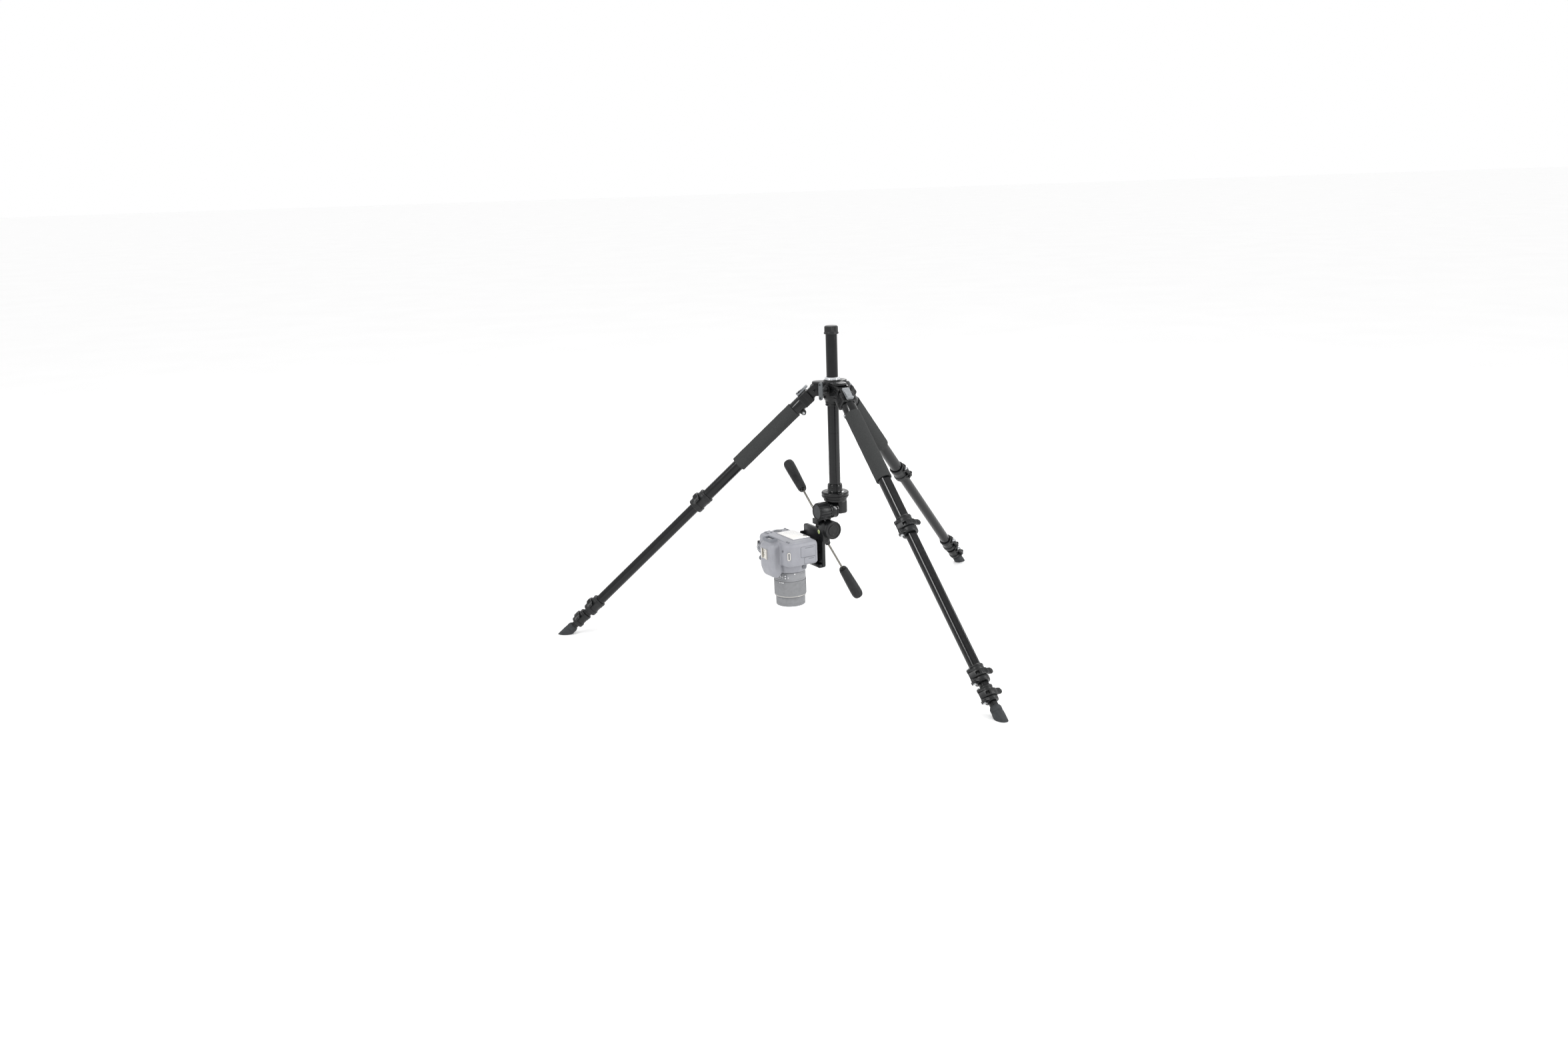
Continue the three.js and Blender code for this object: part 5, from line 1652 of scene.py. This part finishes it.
def mode_dial():
    """The knurled dial with its printed marks, and the shutter button."""
    low, high, _ = span("mode_dial", HEAD)
    centre = (low + high) / 2
    rim, height = (high.y - low.y) / 2, high.x - low.x
    knurls, marks = 40, 10

    def knurled(radius, angle, level):
        """Knurls around the dial's rim."""
        on_rim = radius > rim - 0.6 and level > 1
        return radius - (0.22 * (1 + math.cos(knurls * angle)) if on_rim else 0)

    profile = [
        (0, 0),
        (rim, 0),
        (rim, 1.0),
        (rim, 1.6),
        (rim, height - 1.4),
        (rim - 1.0, height),
        (rim - 1.8, height - 0.4),
        (0, height - 0.4),
    ]
    dial = turned(profile, 0.25, 4 * knurls, 2, bend=knurled)
    place = along((low.x, centre.y, centre.z), (1, 0, 0))
    piece("mode_dial_wheel", move(dial, place), HEAD, CAMERA_DARK, "mode_dial", ["mode_dial"])
    ticks = []
    for i in range(marks):
        tick = stack(slab(-0.35, -1.3, 0.35, 1.3, 0.2, 1), soft(0, 0.2, 0.05))
        at = turned_to(360 / marks * i) @ shift(0, rim - 4, height - 0.45)
        ticks.append(move(tick, place @ at))
    piece("mode_dial_marks", gather(*ticks), HEAD, WHITE, "mode_dial")

    node = "shutter_button"
    low, high, _ = span(node, HEAD)
    centre = (low + high) / 2
    rim, height = (high.y - low.y) / 2, high.x - low.x
    profile = [
        (0, 0),
        (rim, 0),
        (rim, height - 1),
        (rim - 1.4, height),
        (rim - 3, height - 0.5),
        (0, height - 0.7),
    ]
    place = along((low.x, centre.y, centre.z), (1, 0, 0))
    button = move(turned(profile, 0.5, 48), place)
    piece("release_button", button, HEAD, CAMERA_DARK, node, [node])


def around_lens(degrees, z, radius):
    """Stands a shape on the lens's side at an angle from X, its Z outwards."""
    angle = math.radians(degrees)
    out = Vector((math.cos(angle), math.sin(angle), 0))
    side = Vector((0, 0, 1)).cross(out)
    turn = Matrix((side, Vector((0, 0, 1)), out)).transposed().to_4x4()
    return Matrix.Translation(Vector((LENS_AT.x, LENS_AT.y, z)) + out * radius) @ turn


def lens_barrel(place):
    """The fixed barrel with its mount, switches, printed marks and index dot."""
    node = "lens_barrel"
    low, high, radius = span(node, place)
    inner = 19.4
    end = span("zoom_ring", place)[1].z + 0.4
    profile = [
        (0, low.z),
        (inner, low.z),
        (inner, end),
        (radius, end),
        (radius, end + 3.2),
        (radius - 0.5, end + 3.5),
        (radius - 0.5, end + 4.1),
        (radius, end + 4.4),
        (radius, high.z - 4.5),
        (radius - 0.8, high.z - 3.6),
        (radius - 0.8, high.z - 1.4),
        (radius - 2.4, high.z),
        (0, high.z),
    ]
    piece("lens_fixed_barrel", turned(profile, 0.35, 128, 2), place, LENS, node, [node])
    focus_at, steady_at = 43, 24  # degrees around the lens to the two switches
    face = 0.52  # how far a switch stands out
    switches = []
    for degrees, wide in ((focus_at, 3.2), (steady_at, 2.4)):
        block = stack(slab(-wide, -5.2, wide, 5.2, 1.2), soft(-1.4, 0.55, 0.4))
        switches.append(move(block, around_lens(degrees, 138, radius)))
    piece("lens_switches", gather(*switches), HEAD, CAMERA_DARK, node)
    marks = []
    lines = (  # of each printed line: angle, height, half its width and half its length
        (focus_at, 141.2, 1.6, 0.5),
        (focus_at, 139.4, 1.6, 0.5),
        (focus_at, 136, 1.6, 0.5),
        (focus_at, 134.4, 1.6, 0.5),
        (steady_at, 140, 0.4, 2.6),
        (steady_at, 135.6, 1.1, 0.4),
    )
    for degrees, z, wide, tall in lines:
        tick = stack(slab(-wide, -tall, wide, tall, 0.2, 1), soft(0, 0.16, 0.05))
        marks.append(move(tick, around_lens(degrees, z, radius + face)))
    for degrees, z in ((53, 136.6), (30, 137.4)):
        spot = lathe([(0, 0), (0.8, 0), (0.8, 0.15), (0, 0.15)], 24)
        marks.append(move(spot, around_lens(degrees, z, radius - 0.02)))
    piece("lens_marks", gather(*marks), HEAD, WHITE, node)
    dot = turned([(0, -0.4), (1.35, -0.4), (1.35, 0.3), (0, 0.7)], 0.3, 32)
    dot = move(dot, around_lens(78, 143.6, radius - 1.1))
    piece("mount_index_dot", dot, HEAD, WHITE, node)


def zoom_ring(place):
    """The ribbed zoom ring, its silver band and its scale's marks."""
    node = "zoom_ring"
    low, high, radius = span(node, place)
    rows, depth = 72, 0.3

    def ribbed(r, angle, height):
        """Square ribs with sloped sides along the ring's band."""
        on_band = low.z + 5 < height < high.z - 4.5 and r > radius - 1
        slope = max(-0.4, min(0.4, math.cos(rows * angle))) / 0.4
        return r - (depth * (1 - slope) / 2 if on_band else 0)

    bore = span("front_barrel", place)[2] + 0.35
    profile = [
        (bore, low.z),
        (radius - 1, low.z),
        (radius - 1, low.z + 1.2),
        (radius - 0.5, low.z + 1.6),
        (radius - 0.5, low.z + 2.9),
        (radius, low.z + 3.4),
        (radius, low.z + 5.2),
        (radius, low.z + 5.6),
        (radius, high.z - 5.2),
        (radius, high.z - 4.8),
        (radius, high.z),
        (bore, high.z),
    ]
    piece("zoom_grip_ring", lathe(profile, 6 * rows, ribbed), place, LENS_RUBBER, node, [node])
    band_profile = [
        (radius - 1.2, low.z + 1.5),
        (radius - 0.35, low.z + 1.5),
        (radius - 0.35, low.z + 2.5),
        (radius - 1.2, low.z + 2.5),
    ]
    band = turned(band_profile, 0.2, 128, 2, closed=True)
    piece("silver_band", band, place, RAIL, node)
    ticks = []
    for degrees in (20, 26, 31, 35):
        tick = stack(slab(-0.9, -0.7, 0.9, 0.7, 0.2, 1), soft(0, 0.12, 0.04))
        ticks.append(move(tick, around_lens(degrees, high.z - 2.2, radius - 0.02)))
    piece("zoom_scale_marks", gather(*ticks), HEAD, WHITE, node)


def front_of_lens(place):
    """The barrel that slides out, its front glass and the narrow focus ring."""
    low, high, radius = span("front_barrel", place)
    ring_low, ring_high, _ = span("focus_ring", place)
    seat, bore = radius - 3.4, 20
    profile = [
        (0, low.z + 11),
        (bore, low.z + 11.5),
        (22, low.z + 10),
        (23, low.z + 8.6),
        (25, low.z + 6.4),
        (26.4, low.z + 3),
        (radius - 2.6, low.z + 1.6),
        (radius - 2.4, low.z),
        (radius - 0.3, low.z),
        (radius, low.z + 0.5),
        (radius, ring_low.z - 0.3),
        (seat, ring_low.z - 0.3),
        (seat, ring_high.z + 0.3),
        (radius, ring_high.z + 0.3),
        (radius, high.z),
        (bore, high.z),
        (bore, low.z + 20),
        (0, low.z + 20),
    ]
    barrel = turned(profile, 0.25, 128, 2)
    piece("front_lens_barrel", barrel, place, LENS, "front_barrel", ["front_barrel"])
    turns = (0.0, 0.15, 0.3, 0.45, 0.6, 0.75, 0.88, 1.0)
    dome = [(22 * math.sin(t), low.z + 10.6 - 3.2 * (math.cos(t) - 0.4)) for t in turns]
    rim, edge = dome[-1]
    glass = lathe([*dome, (rim, edge + 1.2), (0, edge + 1.2)], 96)
    piece("front_glass", glass, place, GLASS, "front_barrel")
    rows = 90

    def ribbed(r, angle, height):
        """Fine round ribs along the focus ring's middle."""
        inside = ring_low.z + 3.4 < height < ring_high.z - 3.4 and r > radius - 1
        return r - (0.16 * (1 + math.cos(rows * angle)) if inside else 0)

    profile = [
        (seat + 0.4, ring_low.z),
        (radius, ring_low.z),
        (radius, ring_low.z + 2.6),
        (radius - 0.4, ring_low.z + 3.0),
        (radius, ring_low.z + 3.5),
        (radius, ring_high.z - 3.5),
        (radius - 0.4, ring_high.z - 3.0),
        (radius, ring_high.z - 2.6),
        (radius, ring_high.z),
        (seat + 0.4, ring_high.z),
    ]
    ring = lathe(profile, 4 * rows, ribbed)
    piece("focus_grip_ring", ring, place, LENS_RUBBER, "focus_ring", ["focus_ring"])


camera_body()
camera_back()
camera_top()
camera_sides()
mode_dial()
place = HEAD @ shift(LENS_AT.x, LENS_AT.y, 0)
lens_barrel(place)
zoom_ring(place)
front_of_lens(place)

# ------------------------------------------------------------------ floor, light and view


def floor():
    """A plain pale studio floor that runs out of sight."""
    shape = bmesh.new()
    reach = 40  # metres
    outline = [(-reach, -reach, 0), (reach, -reach, 0), (reach, reach, 0), (-reach, reach, 0)]
    shape.faces.new([shape.verts.new(p) for p in outline])
    mesh = bpy.data.meshes.new("studio_floor")
    shape.to_mesh(mesh)
    shape.free()
    made = bpy.data.objects.new("studio_floor", mesh)
    bpy.context.scene.collection.objects.link(made)
    # matt white paint, rolled on: an even face with clouds 400 mm wide that hardly show
    paint, tree, shader, where = finish("white_floor_paint", "fcfcfc", 0.9)
    cloud = add(tree, "TexNoise", Vector=where, Scale=per_metre(400.0), Detail=2.0)
    tone = add(tree, "ValToRGB", stops=blend("fbfbfb", "fdfdfd"), Fac=cloud.outputs["Fac"])
    join(tree, shader, Base_Color=tone.outputs["Color"])
    mesh.materials.append(paint)


def softbox(name, location, aim, size, power):
    """A rectangular light: where it stands and aims, its width and height in metres, its watts."""
    data = bpy.data.lights.new(name, "AREA")
    data.shape = "RECTANGLE"
    data.size, data.size_y = size
    data.energy = power
    made = bpy.data.objects.new(name, data)
    made.location = location
    made.rotation_euler = (Vector(aim) - Vector(location)).to_track_quat("-Z", "Y").to_euler()
    bpy.context.scene.collection.objects.link(made)


def studio():
    """An even white surround with soft lights, shown with no film curve so that white is white."""
    world = bpy.data.worlds.new("studio")
    world.use_nodes = True
    sky = world.node_tree.nodes["Background"]
    sky.inputs["Color"].default_value = (1, 1, 1, 1)
    sky.inputs["Strength"].default_value = 1.0
    bpy.context.scene.world = world
    bpy.context.scene.view_settings.view_transform = "Standard"
    aim = (0, 0, 0.3)  # the head and the camera hang there
    softbox("key", (-1.7, -1.5, 2.3), aim, (0.3, 1.6), 38)
    softbox("side", (2.3, -0.9, 1.3), aim, (0.16, 1.8), 34)
    softbox("back", (0.5, 2.2, 1.9), aim, (0.4, 1.4), 20)


def camera():
    """The view: a long way back, a little above the head, turned slightly about its own axis."""
    azimuth, height, roll = math.radians(3.256), math.radians(14.447), math.radians(-1.949)
    distance, aside, aim_height = 3.0055, -0.10998, 0.24275  # metres
    film_width = 36  # millimetres
    focal = 2124.2 / 2352  # of the film's width
    level = Vector((math.sin(azimuth), -math.cos(azimuth), 0))
    back = level * math.cos(height) + Vector((0, 0, math.sin(height)))
    right = Vector((math.cos(azimuth), math.sin(azimuth), 0))
    up = back.cross(right)
    x_axis = right * math.cos(roll) + up * math.sin(roll)
    y_axis = up * math.cos(roll) - right * math.sin(roll)
    location = AXIS + Vector((0, 0, aim_height)) + right * aside + back * distance
    data = bpy.data.cameras.new("view")
    data.sensor_width = film_width
    data.lens = film_width * focal
    data.clip_end = 200
    made = bpy.data.objects.new("view", data)
    turn = Matrix((x_axis, y_axis, back)).transposed().to_4x4()
    made.matrix_world = Matrix.Translation(location) @ turn
    bpy.context.scene.collection.objects.link(made)
    bpy.context.scene.camera = made


floor()
studio()
camera()
